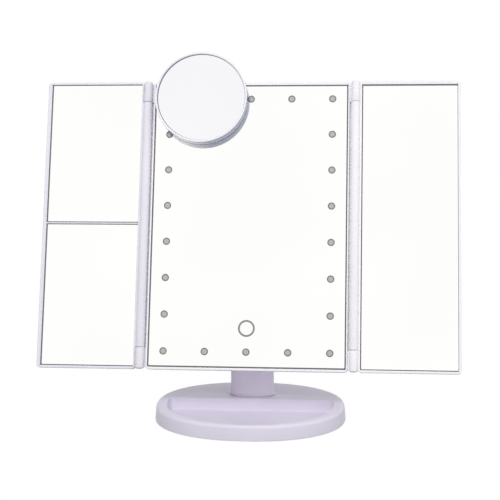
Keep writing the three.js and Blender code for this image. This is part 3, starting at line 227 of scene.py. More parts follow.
def rounded_rectangle(half_w, half_h, corner):
    """Four quarter circles of radius corner about points corner inside each corner, joined by
    straight sides."""
    points = 7
    turn = (column(np.arange(4) * math.pi / 2) + np.linspace(0, math.pi / 2, points)).ravel()
    side_x, side_z = np.repeat([1, -1, -1, 1], points), np.repeat([1, 1, -1, -1], points)
    x = side_x * (half_w - corner) + corner * np.cos(turn)
    z = side_z * (half_h - corner) + corner * np.sin(turn)
    return np.stack(np.broadcast_arrays(x, z), -1)


def upright(outline, behind):
    """Outlines of (x, z) points, each row of them at its own depth behind the glass face."""
    behind = np.broadcast_to(column(behind), outline.shape[:2])
    return np.stack([outline[..., 0], behind, outline[..., 1]], -1)


def at_height(outline, z):
    """Outlines of (x, y) points at one height, or at a column of heights, one for each row."""
    return np.concatenate([outline, np.broadcast_to(z, outline.shape[:-1])[..., None]], -1)


def inset_rectangles(half_w, half_h, corner, section):
    """One rounded rectangle per (inset, behind) point of a section; the corners tighten as the inset
    grows."""
    inset, behind = np.asarray(section, float).T
    radius = np.maximum(corner - inset, LEAST_CORNER)
    outlines = rounded_rectangle(column(half_w - inset), column(half_h - inset), column(radius))
    return upright(outlines, behind)


def turned(section, axis, centre=(0, 0, 0), sides=64, along=False, caps=()):
    """Section of (radius, distance) points turned about an axis: (r cos a, r sin a, distance), with
    a from 0 to a full turn."""
    radius, distance = np.asarray(section, float).T
    turn = np.linspace(0, 2 * math.pi, sides, endpoint=False)
    across, other = column(radius) * np.cos(turn), column(radius) * np.sin(turn)
    length = np.broadcast_to(column(distance), across.shape)
    points = {"x": (length, across, other), "y": (across, length, other), "z": (across, other, length)}
    return grid(np.stack(points[axis], -1) + np.asarray(centre, float), along=along, caps=caps)


def drum(axis, radius, ends, centre=(0, 0, 0), edge=0.3):
    """Cylinder between two distances along its axis, its rims rounded by quarter circles of radius
    edge."""
    turn = np.linspace(0, math.pi / 2, 4)
    low = [radius - edge + edge * np.sin(turn), ends[0] + edge - edge * np.cos(turn)]
    high = [radius - edge + edge * np.cos(turn), ends[1] - edge + edge * np.sin(turn)]
    return turned(np.concatenate([low, high], 1).T, axis, centre, caps=(0, -1))


def placed(shell, offset):
    """The same shell moved by an offset."""
    return (shell[0] + np.asarray(offset, float), *shell[1:])


def block(x, y, z, edge=0.3):
    """Box between three pairs of limits, with the edges along y and the rims of its two y faces
    rounded by quarter circles."""
    half_w, half_h = (x[1] - x[0]) / 2, (z[1] - z[0]) / 2
    turn = np.linspace(0, math.pi / 2, 4)
    lean, rise = edge * (1 - np.sin(turn)), edge * (1 - np.cos(turn))
    front, back = np.stack([lean, y[0] + rise], -1), np.stack([lean, y[1] - rise], -1)
    section = np.concatenate([front, back[::-1]])
    shell = grid(inset_rectangles(half_w, half_h, edge + LEAST_CORNER, section), caps=(0, -1))
    return placed(shell, (x[0] + half_w, 0, z[0] + half_h))


def at_pivot(shell):
    """A shell about the pivot moved into the frame of the main glass."""
    return placed(shell, -GLASS_FROM_PIVOT)


def on_head(points):
    """Points of the glass frame leaned back about the pivot: y' = y cos t + z sin t and
    z' = z cos t - y sin t."""
    x, y, z = np.moveaxis(points + GLASS_FROM_PIVOT, -1, 0)
    lean = [x, y * math.cos(TILT) + z * math.sin(TILT), z * math.cos(TILT) - y * math.sin(TILT)]
    return PIVOT + np.stack(lean, -1)


def in_place(points):
    """Points that are already in the object's own frame."""
    return points


def smooth(mesh, crease):
    """Smooth shading, with edges sharper than the crease angle, in degrees, kept."""
    mesh.polygons.foreach_set("use_smooth", np.ones(len(mesh.polygons), bool))
    mesh.set_sharp_from_angle(angle=math.radians(crease))


def mesh_object(name, shells, place, crease=CREASE):
    """Join shells into one mesh in metres, merge doubled points and turn the faces outwards."""
    points, faces, start = [], [], 0
    for shell_points, quads, ends in shells:
        points.append(place(shell_points) * MM)
        faces += (quads + start).tolist() + [(end + start).tolist() for end in ends]
        start += len(shell_points)
    mesh = bpy.data.meshes.new(name)
    mesh.from_pydata(np.concatenate(points).tolist(), [], faces)
    work = bmesh.new()
    work.from_mesh(mesh)
    bmesh.ops.remove_doubles(work, verts=work.verts, dist=MERGE_DISTANCE)
    bmesh.ops.recalc_face_normals(work, faces=work.faces)
    work.to_mesh(mesh)
    work.free()
    smooth(mesh, crease)
    made = bpy.data.objects.new(name, mesh)
    bpy.context.scene.collection.objects.link(made)
    return made


def carve(made, shells, place, crease):
    """Cut closed shells out of a piece and keep the finished mesh."""
    cutter = mesh_object("cutter", shells, place)
    cut = made.modifiers.new("cut", "BOOLEAN")
    cut.operation, cut.solver, cut.object = "DIFFERENCE", "EXACT", cutter
    evaluated = made.evaluated_get(bpy.context.evaluated_depsgraph_get())
    mesh = bpy.data.meshes.new_from_object(evaluated)
    made.modifiers.clear()
    made.data = mesh
    bpy.data.objects.remove(cutter)
    smooth(mesh, crease)


def piece(name, shells, body, finish, replaces=(), place=in_place, cuts=(), crease=CREASE):
    """A finished piece: mesh, cuts, material, body that it rides on and CAD nodes it stands for."""
    made = mesh_object(name, shells, place, crease)
    if cuts:
        carve(made, cuts, place, crease)
    material, slot = FINISHES[finish]
    made.data.materials.clear()
    made.data.materials.append(material)
    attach(made, body)
    if replaces:
        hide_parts(*replaces)


# Finishes


class Shader:
    """Node graph of one material: a principled shader with patterns on object coordinates."""

    def __init__(self, name, colour, roughness, metallic=0.0, **sockets):
        self.material = bpy.data.materials.new(name)
        self.material.use_nodes = True
        self.tree = self.material.node_tree
        self.principled = self.tree.nodes["Principled BSDF"]
        self.coordinates = self.tree.nodes.new("ShaderNodeTexCoord").outputs["Object"]
        plain = {"Base Color": (*linear(colour), 1), "Roughness": roughness, "Metallic": metallic}
        for socket, value in {**plain, **sockets}.items():
            self.principled.inputs[socket].default_value = value

    def noise(self, scale, detail=3.0, stretch=(1, 1, 1)):
        """Noise of a given number of features per metre, stretched along the axes."""
        mapping = self.tree.nodes.new("ShaderNodeMapping")
        mapping.inputs["Scale"].default_value = stretch
        texture = self.tree.nodes.new("ShaderNodeTexNoise")
        texture.inputs["Scale"].default_value = scale
        texture.inputs["Detail"].default_value = detail
        self.tree.links.new(self.coordinates, mapping.inputs["Vector"])
        self.tree.links.new(mapping.outputs["Vector"], texture.inputs["Vector"])
        return texture.outputs["Fac"]

    def ramp(self, factor, low, high, into, linear_colours=True):
        """Drive a colour or roughness socket between two values by a factor near its middle."""
        node = self.tree.nodes.new("ShaderNodeValToRGB")
        first, last = node.color_ramp.elements
        first.position, last.position = RAMP_LOW, RAMP_HIGH
        for element, value in ((first, low), (last, high)):
            element.color = (*(linear(value) if linear_colours else (value,) * 3), 1)
        self.tree.links.new(factor, node.inputs["Fac"])
        self.tree.links.new(node.outputs["Color"], self.principled.inputs[into])

    def bump(self, factor, strength):
        """Fine relief as deep as the grain."""
        node = self.tree.nodes.new("ShaderNodeBump")
        node.inputs["Strength"].default_value = strength
        node.inputs["Distance"].default_value = GRAIN_DEPTH
        self.tree.links.new(factor, node.inputs["Height"])
        self.tree.links.new(node.outputs["Normal"], self.principled.inputs["Normal"])


def linear(colour):
    """Light values of an 8-bit display colour: ((c / 255 + 0.055) / 1.055) ^ 2.4, or c / 255 / 12.92
    where it is nearly black."""
    share = np.asarray(colour, float) / 255
    return np.where(share <= 0.04045, share / 12.92, ((share + 0.055) / 1.055) ** 2.4).tolist()


def darker(colour, steps):
    """A display colour less the same number of steps in each channel."""
    return tuple(channel - steps for channel in colour)


def moulded(name, colour, roughness, grain=0.04, **sockets):
    """Moulded plastic: faint drift of shade over centimetres and a fine satin grain."""
    shader = Shader(name, colour, roughness, **sockets)
    shader.ramp(shader.noise(35), darker(colour, 3), colour, "Base Color")
    shader.ramp(shader.noise(420), roughness - 0.03, roughness + 0.03, "Roughness", False)
    shader.bump(shader.noise(GRAIN, 2), grain)
    return shader.material


def silvered(name, colour):
    """Silvered glass: a nearly perfect reflection with a trace of uneven polish."""
    roughness = 0.01
    shader = Shader(name, colour, roughness, metallic=1.0)
    shader.ramp(shader.noise(9, 1), darker(colour, 2), colour, "Base Color")
    shader.ramp(shader.noise(60), 0.0, roughness, "Roughness", False)
    return shader.material


def case_with_painted_shade():
    """White plastic of the round mirror with painted shade, blue-grey where its wall faces down and to
    the right: the painted shade follows the dot product of the surface's normal and that direction."""
    lit, painted_shade_colour = (240, 240, 247), (150, 158, 187)
    shader = Shader("case_plastic_painted_shade", lit, 0.25)
    towards = shader.tree.nodes.new("ShaderNodeVectorMath")
    towards.operation = "DOT_PRODUCT"
    towards.inputs[1].default_value = (0.766, -0.224, -0.602)
    normal = shader.tree.nodes.new("ShaderNodeNewGeometry").outputs["Normal"]
    shader.tree.links.new(normal, towards.inputs[0])
    spread = shader.tree.nodes.new("ShaderNodeMapRange")
    spread.inputs["From Min"].default_value, spread.inputs["From Max"].default_value = -0.05, 1.2
    shader.tree.links.new(towards.outputs["Value"], spread.inputs["Value"])
    shader.ramp(spread.outputs["Result"], lit, painted_shade_colour, "Base Color")
    shader.bump(shader.noise(GRAIN, 2), 0.03)
    return shader.material


def plated(name, colour, roughness):
    """Plated steel: fine drawn scratches and a slightly uneven gloss."""
    shader = Shader(name, colour, roughness, metallic=1.0)
    shader.ramp(shader.noise(160), darker(colour, 12), colour, "Base Color")
    scratches = shader.noise(700, 2, (1, 1, 12))
    shader.ramp(scratches, roughness - 0.06, roughness + 0.08, "Roughness", False)
    shader.bump(shader.noise(1500, 2, (1, 1, 10)), 0.06)
    return shader.material


# Material and slot of each finish; the four whites are copies of one plastic, each lighter or darker by
# light and shade painted into it to match the light on its surfaces
FINISHES = {
    "white": (moulded("satin_white_plastic", (230, 225, 240), 0.36), "white_plastic"),
    "white_painted_light": (moulded("white_plastic_painted_light", (250, 247, 252), 0.36), "white_plastic"),
    "left": (moulded("left_wing_plastic_painted_shade", (234, 231, 240), 0.36), "white_plastic"),
    "stem": (moulded("stem_plastic_painted_light", (240, 233, 247), 0.36), "white_plastic"),
    "inner": (moulded("matt_inner_plastic", (218, 216, 222), 0.6, 0.1), "inner_plastic"),
    "mirror": (silvered("silvered_glass", (255, 255, 254)), "mirror_glass"),
    # The round mirror's case: white, with blue-grey painted shade on its lower right wall
    "case": (case_with_painted_shade(), "white_plastic"),
    # Dark ring that paints the contact shadow between the round mirror's case and the glass
    "shadow_ring": (moulded("painted_shadow_ring", (86, 90, 104), 0.7), "grey_rubber"),
    "magnifier": (silvered("magnifying_glass_mirror", (248, 248, 251)), "mirror_glass"),
    # Dark grey of the glass's ground edge, with painted shade of the gap between glass and rim
    "edge_and_painted_shade": (moulded("glass_edge_painted_shade", (112, 112, 117), 0.4), "mirror_glass"),
    "window_ring": (moulded("light_window_edge", (122, 124, 120), 0.3), "mirror_glass"),
    "window": (moulded("light_window_frost", (183, 186, 180), 0.3), "mirror_glass"),
    "touch": (moulded("touch_ring_print", (140, 140, 139), 0.35), "mirror_glass"),
    "steel": (plated("plated_steel", (186, 188, 194), 0.32), "steel"),
    "iron": (plated("cast_iron", (98, 100, 104), 0.6), "ballast_iron"),
    "rubber": (moulded("grey_rubber", (128, 127, 134), 0.8, 0.2), "grey_rubber"),
    "clear": (moulded("clear_soft_rubber", (214, 222, 228), 0.25, Alpha=0.75), "clear_rubber"),
    "board": (moulded("white_solder_mask", (238, 238, 232), 0.45), "circuit_board"),
    "foil": (plated("copper_foil", (190, 148, 92), 0.35), "sensor_foil"),
    "can": (plated("printed_cell_can", (62, 65, 74), 0.4), "cell_can"),
}


# Base


def turn_at(y, half_d):
    """Turn at which a squared oval of that half depth reaches y: the arc sine of (y / half_d) raised
    to half the power."""
    return math.asin((y / half_d) ** (BASE_POWER / 2))


def tray_outline(outset):
    """Half-moon in front of y = TRAY_BACK + outset, closed by a straight back with round corners.

    A smaller squared oval is pushed outwards along its normals by the corner radius, and at its two
    ends the normal swings round to point straight back.
    """
    arc_points, corner_points, back_points = 97, 6, 49
    radius = TRAY_CORNER + outset
    half_w, half_d = TRAY_HALF_W - TRAY_CORNER, TRAY_HALF_D - TRAY_CORNER
    start = turn_at(TRAY_BACK - TRAY_CORNER, half_d)
    turn = np.linspace(math.pi - start, 2 * math.pi + start, arc_points)
    core = oval(half_w, half_d, turn, BASE_POWER)
    share = core / [half_w, half_d]
    normal = np.sign(share) * np.abs(share) ** (BASE_POWER - 1) / [half_w, half_d]
    facing = np.unwrap(np.arctan2(normal[:, 1], normal[:, 0]) % (2 * math.pi))
    swing = np.linspace(0, 1, corner_points, endpoint=False)
    first = math.pi / 2 + (facing[0] - math.pi / 2) * swing
    last = facing[-1] + (2.5 * math.pi - facing[-1]) * (swing + 1 / corner_points)
    ends = [np.repeat(end, corner_points, 0) for end in (core[:1], core[-1:])]
    middle = np.concatenate([ends[0], core, ends[1]])
    arc = middle + oval(radius, radius, np.concatenate([first, facing, last]))
    straight = arc[-1] + (arc[0] - arc[-1]) * column(np.linspace(0, 1, back_points))
    return arc, straight


def base_shell():
    """Oval body with a filleted rim, a flat deck with the stem's socket and a half-moon tray.

    The rim is one squared oval per (inset, z) point of its section. The deck's front crescent joins
    the rim to the tray's arc, and its rear half joins the rim and the tray's straight back to the
    socket, point by point in the same direction from the socket's middle.
    """
    arc, straight = tray_outline(TRAY_LIP)
    deck_w = BASE_HALF_W - BASE_DRAFT - BASE_FILLET
    deck_d = BASE_HALF_D - BASE_DRAFT - BASE_FILLET
    start = turn_at(TRAY_BACK + TRAY_LIP, deck_d)
    rear = np.linspace(start, math.pi - start, 73)
    front = np.linspace(math.pi - start, 2 * math.pi + start, len(arc))
    turn = np.concatenate([rear, front[1:-1]])
    bend = np.linspace(0, math.pi / 2, 9)
    fillet_inset = BASE_DRAFT + BASE_FILLET * (1 - np.cos(bend))
    fillet_z = DECK_Z - BASE_FILLET * (1 - np.sin(bend))
    inset, z = np.concatenate([WALL_FOOT, np.stack([fillet_inset, fillet_z], -1)]).T
    rim_ovals = oval(BASE_HALF_W - column(inset), BASE_HALF_D - column(inset), turn, BASE_POWER)

    crescent = at_height(np.stack([oval(deck_w, deck_d, front, BASE_POWER), arc]), DECK_Z)
    edge = np.concatenate([oval(deck_w, deck_d, rear, BASE_POWER), straight[::-1]])
    towards = np.arctan2((edge[:, 1] - STEM_Y) / SOCKET_HALF_D, edge[:, 0] / SOCKET_HALF_W)
    grows = (SOCKET_LIP, 0.1, 0, 0)
    heights = (DECK_Z, DECK_Z - 0.1, DECK_Z - SOCKET_LIP, PLATE_TOP + 2 * FIT)
    ovals = [oval(SOCKET_HALF_W + grow, SOCKET_HALF_D + grow, towards) for grow in grows]
    well = at_height(np.stack(ovals) + [0, STEM_Y], column(heights))
    deck = np.stack([at_height(edge, DECK_Z), well[0]])

    loops = []
    for outset, drop in TRAY_WALL:
        arc, straight = tray_outline(outset)
        loops.append(at_height(np.concatenate([arc, straight[1:-1]]), DECK_Z - drop))
    return [
        grid(at_height(rim_ovals, column(z)), caps=(0,)),
        grid(crescent, around=False),
        grid(deck),
        grid(well, caps=(-1,)),
        grid(np.stack(loops), caps=(-1,)),
    ]


def oval_slab(half_w, half_d, low, high, edge=0.25, sides=160):
    """Flat squared oval with small rounded rims: one outline per (inset, height) point."""
    near = 0.3 * edge
    section = [(edge, low), (near, low + near), (0, low + edge), (0, high - edge), (edge, high)]
    inset, z = np.asarray(section).T
    turn = np.linspace(0, 2 * math.pi, sides, endpoint=False)
    loops = oval(half_w - column(inset), half_d - column(inset), turn, BASE_POWER)
    return grid(at_height(loops, column(z)), caps=(0, -1))


def make_base():
    """Base shell, the plate that closes it from below, and four round feet under that."""
    piece("base_shell_surface", base_shell(), "base", "white", ["base_shell"])
    half_w, half_d = BASE_HALF_W - PLATE_INSET, BASE_HALF_D - PLATE_INSET
    plate = oval_slab(half_w, half_d, BASE_BOTTOM, PLATE_TOP)
    piece("base_bottom_plate_surface", [plate], "base", "white", ["base_bottom_plate"])
    for end, (across, deep) in FOOT_PLACES.items():
        for side, sign in (("left", -1), ("right", 1)):
            centre = (sign * across * BASE_HALF_W, deep * BASE_HALF_D, 0)
            foot = drum("z", FOOT_R, (0, FOOT_H), centre)
            piece(f"foot_{end}_{side}_pad", [foot], "base", "rubber", [f"foot_{end}_{side}"])


# Stem


def stem_half(side):
    """Half of the stem's oval shell, side -1 in front and 1 behind.

    Each level is a closed C: an outer half oval, then an inner one back again. Half width and
    half depth shrink from the straight foot to the top, the width along 3s^2 - 2s^3.
    """
    collar, lip = np.array(COLLAR), np.array(STEM_LIP)
    rise = np.linspace(0, 1, 26)
    taper = STEM_STRAIGHT_TOP + rise * (STEM_TOP - STEM_LIP_H - STEM_STRAIGHT_TOP)
    z = np.concatenate([STEM_BOTTOM + collar[:, 0], taper, STEM_TOP + lip[:, 0]])
    proud = np.concatenate([collar[:, 1], 0 * rise, lip[:, 1]])
    share = np.clip((z - STEM_STRAIGHT_TOP) / (STEM_TOP - STEM_STRAIGHT_TOP), 0, 1)
    half_w = STEM_HALF_W + (STEM_TOP_HALF_W - STEM_HALF_W) * share**2 * (3 - 2 * share)
    half_d = STEM_HALF_D + (STEM_TOP_HALF_D - STEM_HALF_D) * share
    turn = np.linspace(STEM_SEAM_TURN, math.pi - STEM_SEAM_TURN, 57)
    outer = oval(column(half_w + proud), column(half_d + proud), turn)
    inner = oval(column(half_w - STEM_WALL), column(half_d - STEM_WALL), turn[::-1])
    loops = np.concatenate([outer, inner], 1) * [1, side] + [0, STEM_Y]
    return grid(at_height(loops, column(z)), caps=(0, -1))


def stem_back(z):
    """How far behind the origin the stem's rear face is at a height."""
    share = max(0, (z - STEM_STRAIGHT_TOP) / (STEM_TOP - STEM_STRAIGHT_TOP))
    return STEM_Y + STEM_HALF_D + (STEM_TOP_HALF_D - STEM_HALF_D) * share


def add_screw(node, centre, length, body, place=in_place):
    """Pan-head screw along y, its head behind: a domed head with a cross recess over a plain shank.

    The head's height over a point at radius r is the dome sqrt(1 - (0.8 r / R)^2) less a dip in the
    shape of a cross, deepest where the point is near either of two crossing lines.
    """
    r = column(np.concatenate([np.linspace(0, 1, 19), [1, 1]])) * SCREW_HEAD_R
    turn = np.linspace(0, 2 * math.pi, 96, endpoint=False)
    x, z = r * np.cos(turn), r * np.sin(turn)
    dome = SCREW_HEAD_H * np.sqrt(1 - (0.8 * r / SCREW_HEAD_R) ** 2)
    from_lines = np.minimum(np.abs(x), np.abs(z))
    arms = np.clip((RECESS_HALF_W - from_lines) / 0.16, 0, 1) * np.clip((RECESS_R - r) / 0.3, 0, 1)
    height = dome - RECESS_DEPTH * SCREW_HEAD_H * arms
    height[-2], height[-1] = SCREW_EDGE, 0
    head = placed(grid(np.stack([x, height, z], -1), caps=(-1,)), centre)
    section = [(SHANK_R, 0), (SHANK_R, SHANK_TIP - length), (SHANK_TIP_R, -length)]
    shank = turned(section, "y", centre, sides=24, caps=(0, -1))
    piece(f"{node}_head", [head, shank], body, "steel", [node], place)


def make_stem():
    """Both halves of the stem, and two screws in round wells of the rear half."""
    # The stem takes a lighter copy of the white, painted with light
    piece("stem_front_surface", [stem_half(-1)], "stem", "stem", ["stem_front_shell"])
    wells = []
    for name, z in STEM_SCREWS.items():
        back = stem_back(z)
        well = [(STEM_WELL_R, back - STEM_WELL_DEPTH), (STEM_WELL_R, back + 3)]
        wells.append(turned(well, "y", (0, 0, z), sides=48, caps=(0, -1)))
        add_screw(f"stem_screw_{name}", (0, back - STEM_SCREW_SINK, z), STEM_SCREW_L, "stem")
    piece("stem_rear_surface", [stem_half(1)], "stem", "stem", ["stem_rear_shell"], cuts=wells)


# Tilt hinge


def hex_nut():
    """Hexagonal nut along x: across a flat the radius is the apothem over the cosine of the angle,
    cut by a chamfer cone."""
    low, high = NUT_SPAN
    turn = np.linspace(0, 2 * math.pi, 96, endpoint=False)
    from_flat = (turn + math.pi / 6) % (math.pi / 3) - math.pi / 6
    flat = NUT_R * math.cos(math.pi / 6) / np.cos(from_flat)
    x = np.array([low, low, low + NUT_CHAMFER, high - NUT_CHAMFER, high, high])
    limit = np.array([NUT_BORE_R, NUT_R * 0.9, NUT_R, NUT_R, NUT_R * 0.9, NUT_BORE_R])
    r = np.minimum(flat, column(limit))
    points = np.stack([np.broadcast_to(column(x), r.shape), r * np.cos(turn), r * np.sin(turn)], -1)
    return grid(points, along=True)


def lug(side):
    """Bracket lug: a plate with a round end about the pivot, its outline carried along x between two
    softened rims."""
    inner, outer = LUG_SPAN
    arc = np.linspace(-math.pi / 2, math.pi / 2, 33)
    end = np.stack([LUG_R * np.cos(arc), LUG_R * np.sin(arc)], -1)
    outline = np.concatenate([end, [[LUG_BACK, LUG_R], [LUG_BACK, -LUG_R]]])
    inset = np.array([0.5, 0.15, 0, 0, 0.15, 0.5])
    x = np.array([inner, inner + 0.15, inner + 0.5, outer - 0.5, outer - 0.15, outer])
    loops = outline * (1 - inset[:, None, None] / LUG_R)
    loops[:, -2:, 0] = LUG_BACK
    across = np.broadcast_to(side * column(x), loops.shape[:2])
    return at_pivot(grid(np.stack([across, loops[..., 0], loops[..., 1]], -1), caps=(0, -1)))


def make_tilt_hinge():
    """Bracket with two lugs on the head, the shaft with its nut and two washers, and the block at the
    stem's top: a barrel on an oval tongue."""
    plate = block(*BRACKET_PLATE, edge=0.8)
    piece("tilt_bracket_surface", [plate, lug(-1), lug(1)], "head", "white_painted_light", ["tilt_bracket"], on_head)
    shaft_head = at_pivot(drum("x", SHAFT_HEAD_R, SHAFT_HEAD_SPAN, edge=0.6))
    shaft = at_pivot(drum("x", SHAFT_R, SHAFT_SPAN, edge=0.4))
    piece("tilt_shaft_turned", [shaft_head, shaft], "head", "steel", ["tilt_shaft"], on_head)
    piece("tilt_nut_hex", [at_pivot(hex_nut())], "head", "steel", ["tilt_nut"], on_head)
    for side, sign in (("left", -1), ("right", 1)):
        near, far = sorted(sign * end for end in WASHER_SPAN)
        corners = [(WASHER_BORE_R, near), (WASHER_R, near), (WASHER_R, far), (WASHER_BORE_R, far)]
        washer = at_pivot(turned(soften(corners, 0.15), "x", along=True))
        node = f"tilt_friction_washer_{side}"
        piece(f"tilt_washer_{side}", [washer], "head", "steel", [node], on_head)
    across, behind, up = BRACKET_SCREW
    for name, sign in (("lower", -1), ("upper", 1)):
        centre = (sign * across, behind, sign * up - GLASS_FROM_PIVOT[2])
        add_screw(f"bracket_screw_{name}", centre, BRACKET_SCREW_L, "head", on_head)
    barrel = drum("x", BLOCK_R, BLOCK_SPAN, PIVOT, edge=0.6)
    turn = np.linspace(0, 2 * math.pi, 64, endpoint=False)
    outline = oval(TONGUE_HALF_W, TONGUE_HALF_D, turn) + [0, STEM_Y]
    tongue = grid(np.stack([at_height(outline, z) for z in TONGUE_SPAN]), caps=(0, -1))
    piece("stem_tilt_block_surface", [barrel, tongue], "stem", "inner", ["stem_tilt_block"])


# Head


def rim_section(width, back, ledge):
    """Section of a moulded rim as (outwards, behind) from the glass opening, with a ledge behind the
    glass and softened corners."""
    corners = [
        (width, back), (width, -RIM_PROUD), (0, -RIM_PROUD), (0, ledge[0]), (-LEDGE_REACH, ledge[0]),
        (-LEDGE_REACH, ledge[1]), (0, ledge[1]), (0, back),
    ]
    return soften(corners, [0.3, 0.7, 0.35, 0.05, 0.3, 0.3, 0.05, 0.3])


def rim(glass_w, sides, back, ledge, x=0):
    """Three sections, for the left, right and ends, carried round the opening.

    Each section point runs along one rounded rectangle, whose left, right and end sides stand as far
    outwards as that point does in their own section.
    """
    left, right, ends = (rim_section(width, back, ledge) for width in (*sides, RIM))
    half_w = glass_w / 2 + FIT + (left[:, 0] + right[:, 0]) / 2
    half_h = GLASS_H / 2 + FIT + ends[:, 0]
    corner = np.maximum(FRAME_CORNER - RIM + ends[:, 0], LEAST_CORNER)
    loops = rounded_rectangle(column(half_w), column(half_h), column(corner))
    loops[..., 0] += column((right[:, 0] - left[:, 0]) / 2)
    return placed(grid(upright(loops, ends[:, 1]), along=True), (x, 0, 0))


def lap(across, up):
    """Bead by which a rim laps over the edge of its glass."""
    return block(across, (-RIM_PROUD + 0.05, -0.02), up, edge=0.1)


def knuckle(side, end):
    """End knuckle: a turned barrel with a domed end, and the web that joins it to the main frame."""
    seam = end * SEAM_Z
    bend = np.linspace(0, math.pi / 2, 10)
    dome_z = KNUCKLE_L - KNUCKLE_DOME + KNUCKLE_DOME * np.sin(bend)
    foot = [(BARREL_R - 0.35, 0), (BARREL_R - 0.1, 0.1), (BARREL_R, 0.35)]
    section = np.concatenate([foot, np.stack([BARREL_R * np.cos(bend), dome_z], -1)])
    section[:, 1] = seam + end * section[:, 1]
    x = side * HINGE_X
    barrel = turned(section, "z", (x, HINGE_Y, 0), caps=(0,))
    across = sorted((x, x - side * KNUCKLE_WEB))
    up = sorted((seam, seam + end * (KNUCKLE_L - KNUCKLE_DOME)))
    return [barrel, block(across, (KNUCKLE_WEB_FRONT, WEB_BACK), up)]


def slab(across, up, section, corner=1.0):
    """Flat sheet between two pairs of limits: one rounded rectangle per (inset, behind) point of its
    edge's section."""
    (left, right), (low, high) = across, up
    shape = inset_rectangles((right - left) / 2, (high - low) / 2, corner, section)
    return placed(grid(shape, caps=(0, -1)), ((left + right) / 2, 0, (low + high) / 2))


def sheet_of_mirror(name, node, body, across, up):
    """Sheet of glass whose dark ground edges carry painted shade of the rim's gap, and the silvered
    face inside them.
    """
    edge = [(0.25, 0), (0.08, 0.06), (0, 0.22), (0, GLASS_T - 0.2), (0.2, GLASS_T)]
    piece(f"{name}_glass_edge", [slab(across, up, edge)], body, "edge_and_painted_shade", [node], on_head)
    left, right, bottom, top = MARGINS[name]
    across, up = (across[0] + left, across[1] - right), (up[0] + bottom, up[1] - top)
    silver = slab(across, up, [(0.06, -SILVER_PROUD), (0, 0), (0, 0.3)], corner=0.6)
    piece(f"{name}_silver", [silver], body, "mirror", place=on_head, crease=1)


def printed(radius, x, z, inner=0.0, sides=48):
    """Thin print on the main glass: a flat disc, or a ring where an inner radius is given."""
    front, back = -PRINT_PROUD, PRINT_BACK
    outline = [(inner, front), (radius, front), (radius, back), (inner, back)]
    return turned(outline, "y", (x, 0, z), sides, along=inner > 0)


def light_places():
    """Two columns of evenly spaced lights, and the lights between them along the top and bottom."""
    heights = np.linspace(-LIGHT_Z, LIGHT_Z, LIGHT_ROWS)
    across = np.linspace(-LIGHT_X, LIGHT_X, LIGHT_COLUMNS)[1:-1]
    sides = [(x, z) for z in heights for x in (-LIGHT_X, LIGHT_X)]
    return sides + [(x, z) for x in across for z in (-LIGHT_Z, LIGHT_Z)]


def make_main_front():
    """Main frame with its knuckles and the guard lips behind the hinge gaps, the main mirror, and the
    lights' windows and the touch ring on it."""
    half_w, half_h = GLASS_W / 2, GLASS_H / 2
    shells = [rim(GLASS_W, (RIM_NARROW, RIM_NARROW), RIM_BACK, MAIN_LEDGE)]
    shells.append(lap((-half_w, half_w), (half_h - MAIN_LAP, half_h + FIT)))
    shells += knuckle(1, -1) + knuckle(1, 1)
    left_knuckles = knuckle(-1, -1) + knuckle(-1, 1)
    # The left knuckles take the left wing's darker copy of the white, painted with shade
    piece("left_knuckle_surface", left_knuckles, "head", "left", place=on_head)
    near, far = half_w + FIT + RIM_NARROW / 2, half_w + FIT + RIM_NARROW + GUARD_REACH
    guard_y, guard_z = (GUARD_FRONT, GUARD_FRONT + GUARD_T), SEAM_Z + GUARD_REACH
    for side in (-1, 1):
        shells.append(block(sorted((side * near, side * far)), guard_y, (-guard_z, guard_z)))
    piece("main_frame_surface", shells, "head", "white_painted_light", ["main_front_frame"], on_head)
    sheet_of_mirror("main", "main_mirror_glass", "head", (-half_w, half_w), (-half_h, half_h))
    lens_r = LIGHT_R - LIGHT_RING
    rings = [printed(LIGHT_R, x, z, lens_r) for x, z in light_places()]
    piece("light_window_edges", rings, "head", "window_ring", place=on_head)
    lenses = [printed(lens_r, x, z) for x, z in light_places()]
    piece("light_windows", lenses, "head", "window", place=on_head)
    ring = printed(TOUCH_R, 0, TOUCH_Z, TOUCH_R - TOUCH_STROKE, sides=96)
    piece("touch_ring", [ring], "head", "touch", place=on_head)


# Rear of the head


def housing():
    """Raised housing: rounded rectangles that lean in by the draft and turn over in a quarter-circle
    fillet."""
    bend = np.linspace(0, math.pi / 2, 8)
    inset = HOUSING_DRAFT + HOUSING_FILLET * (1 - np.cos(bend))
    fillet = np.stack([inset, HOUSING_FILLET_Y + HOUSING_FILLET * np.sin(bend)], -1)
    section = np.concatenate([[(0, COVER_BACK - 0.8)], fillet])
    shape = inset_rectangles(HOUSING_HALF_W, HOUSING_HALF_H, HOUSING_CORNER, section)
    return placed(grid(shape, caps=(0, -1)), (0, 0, HOUSING_Z))


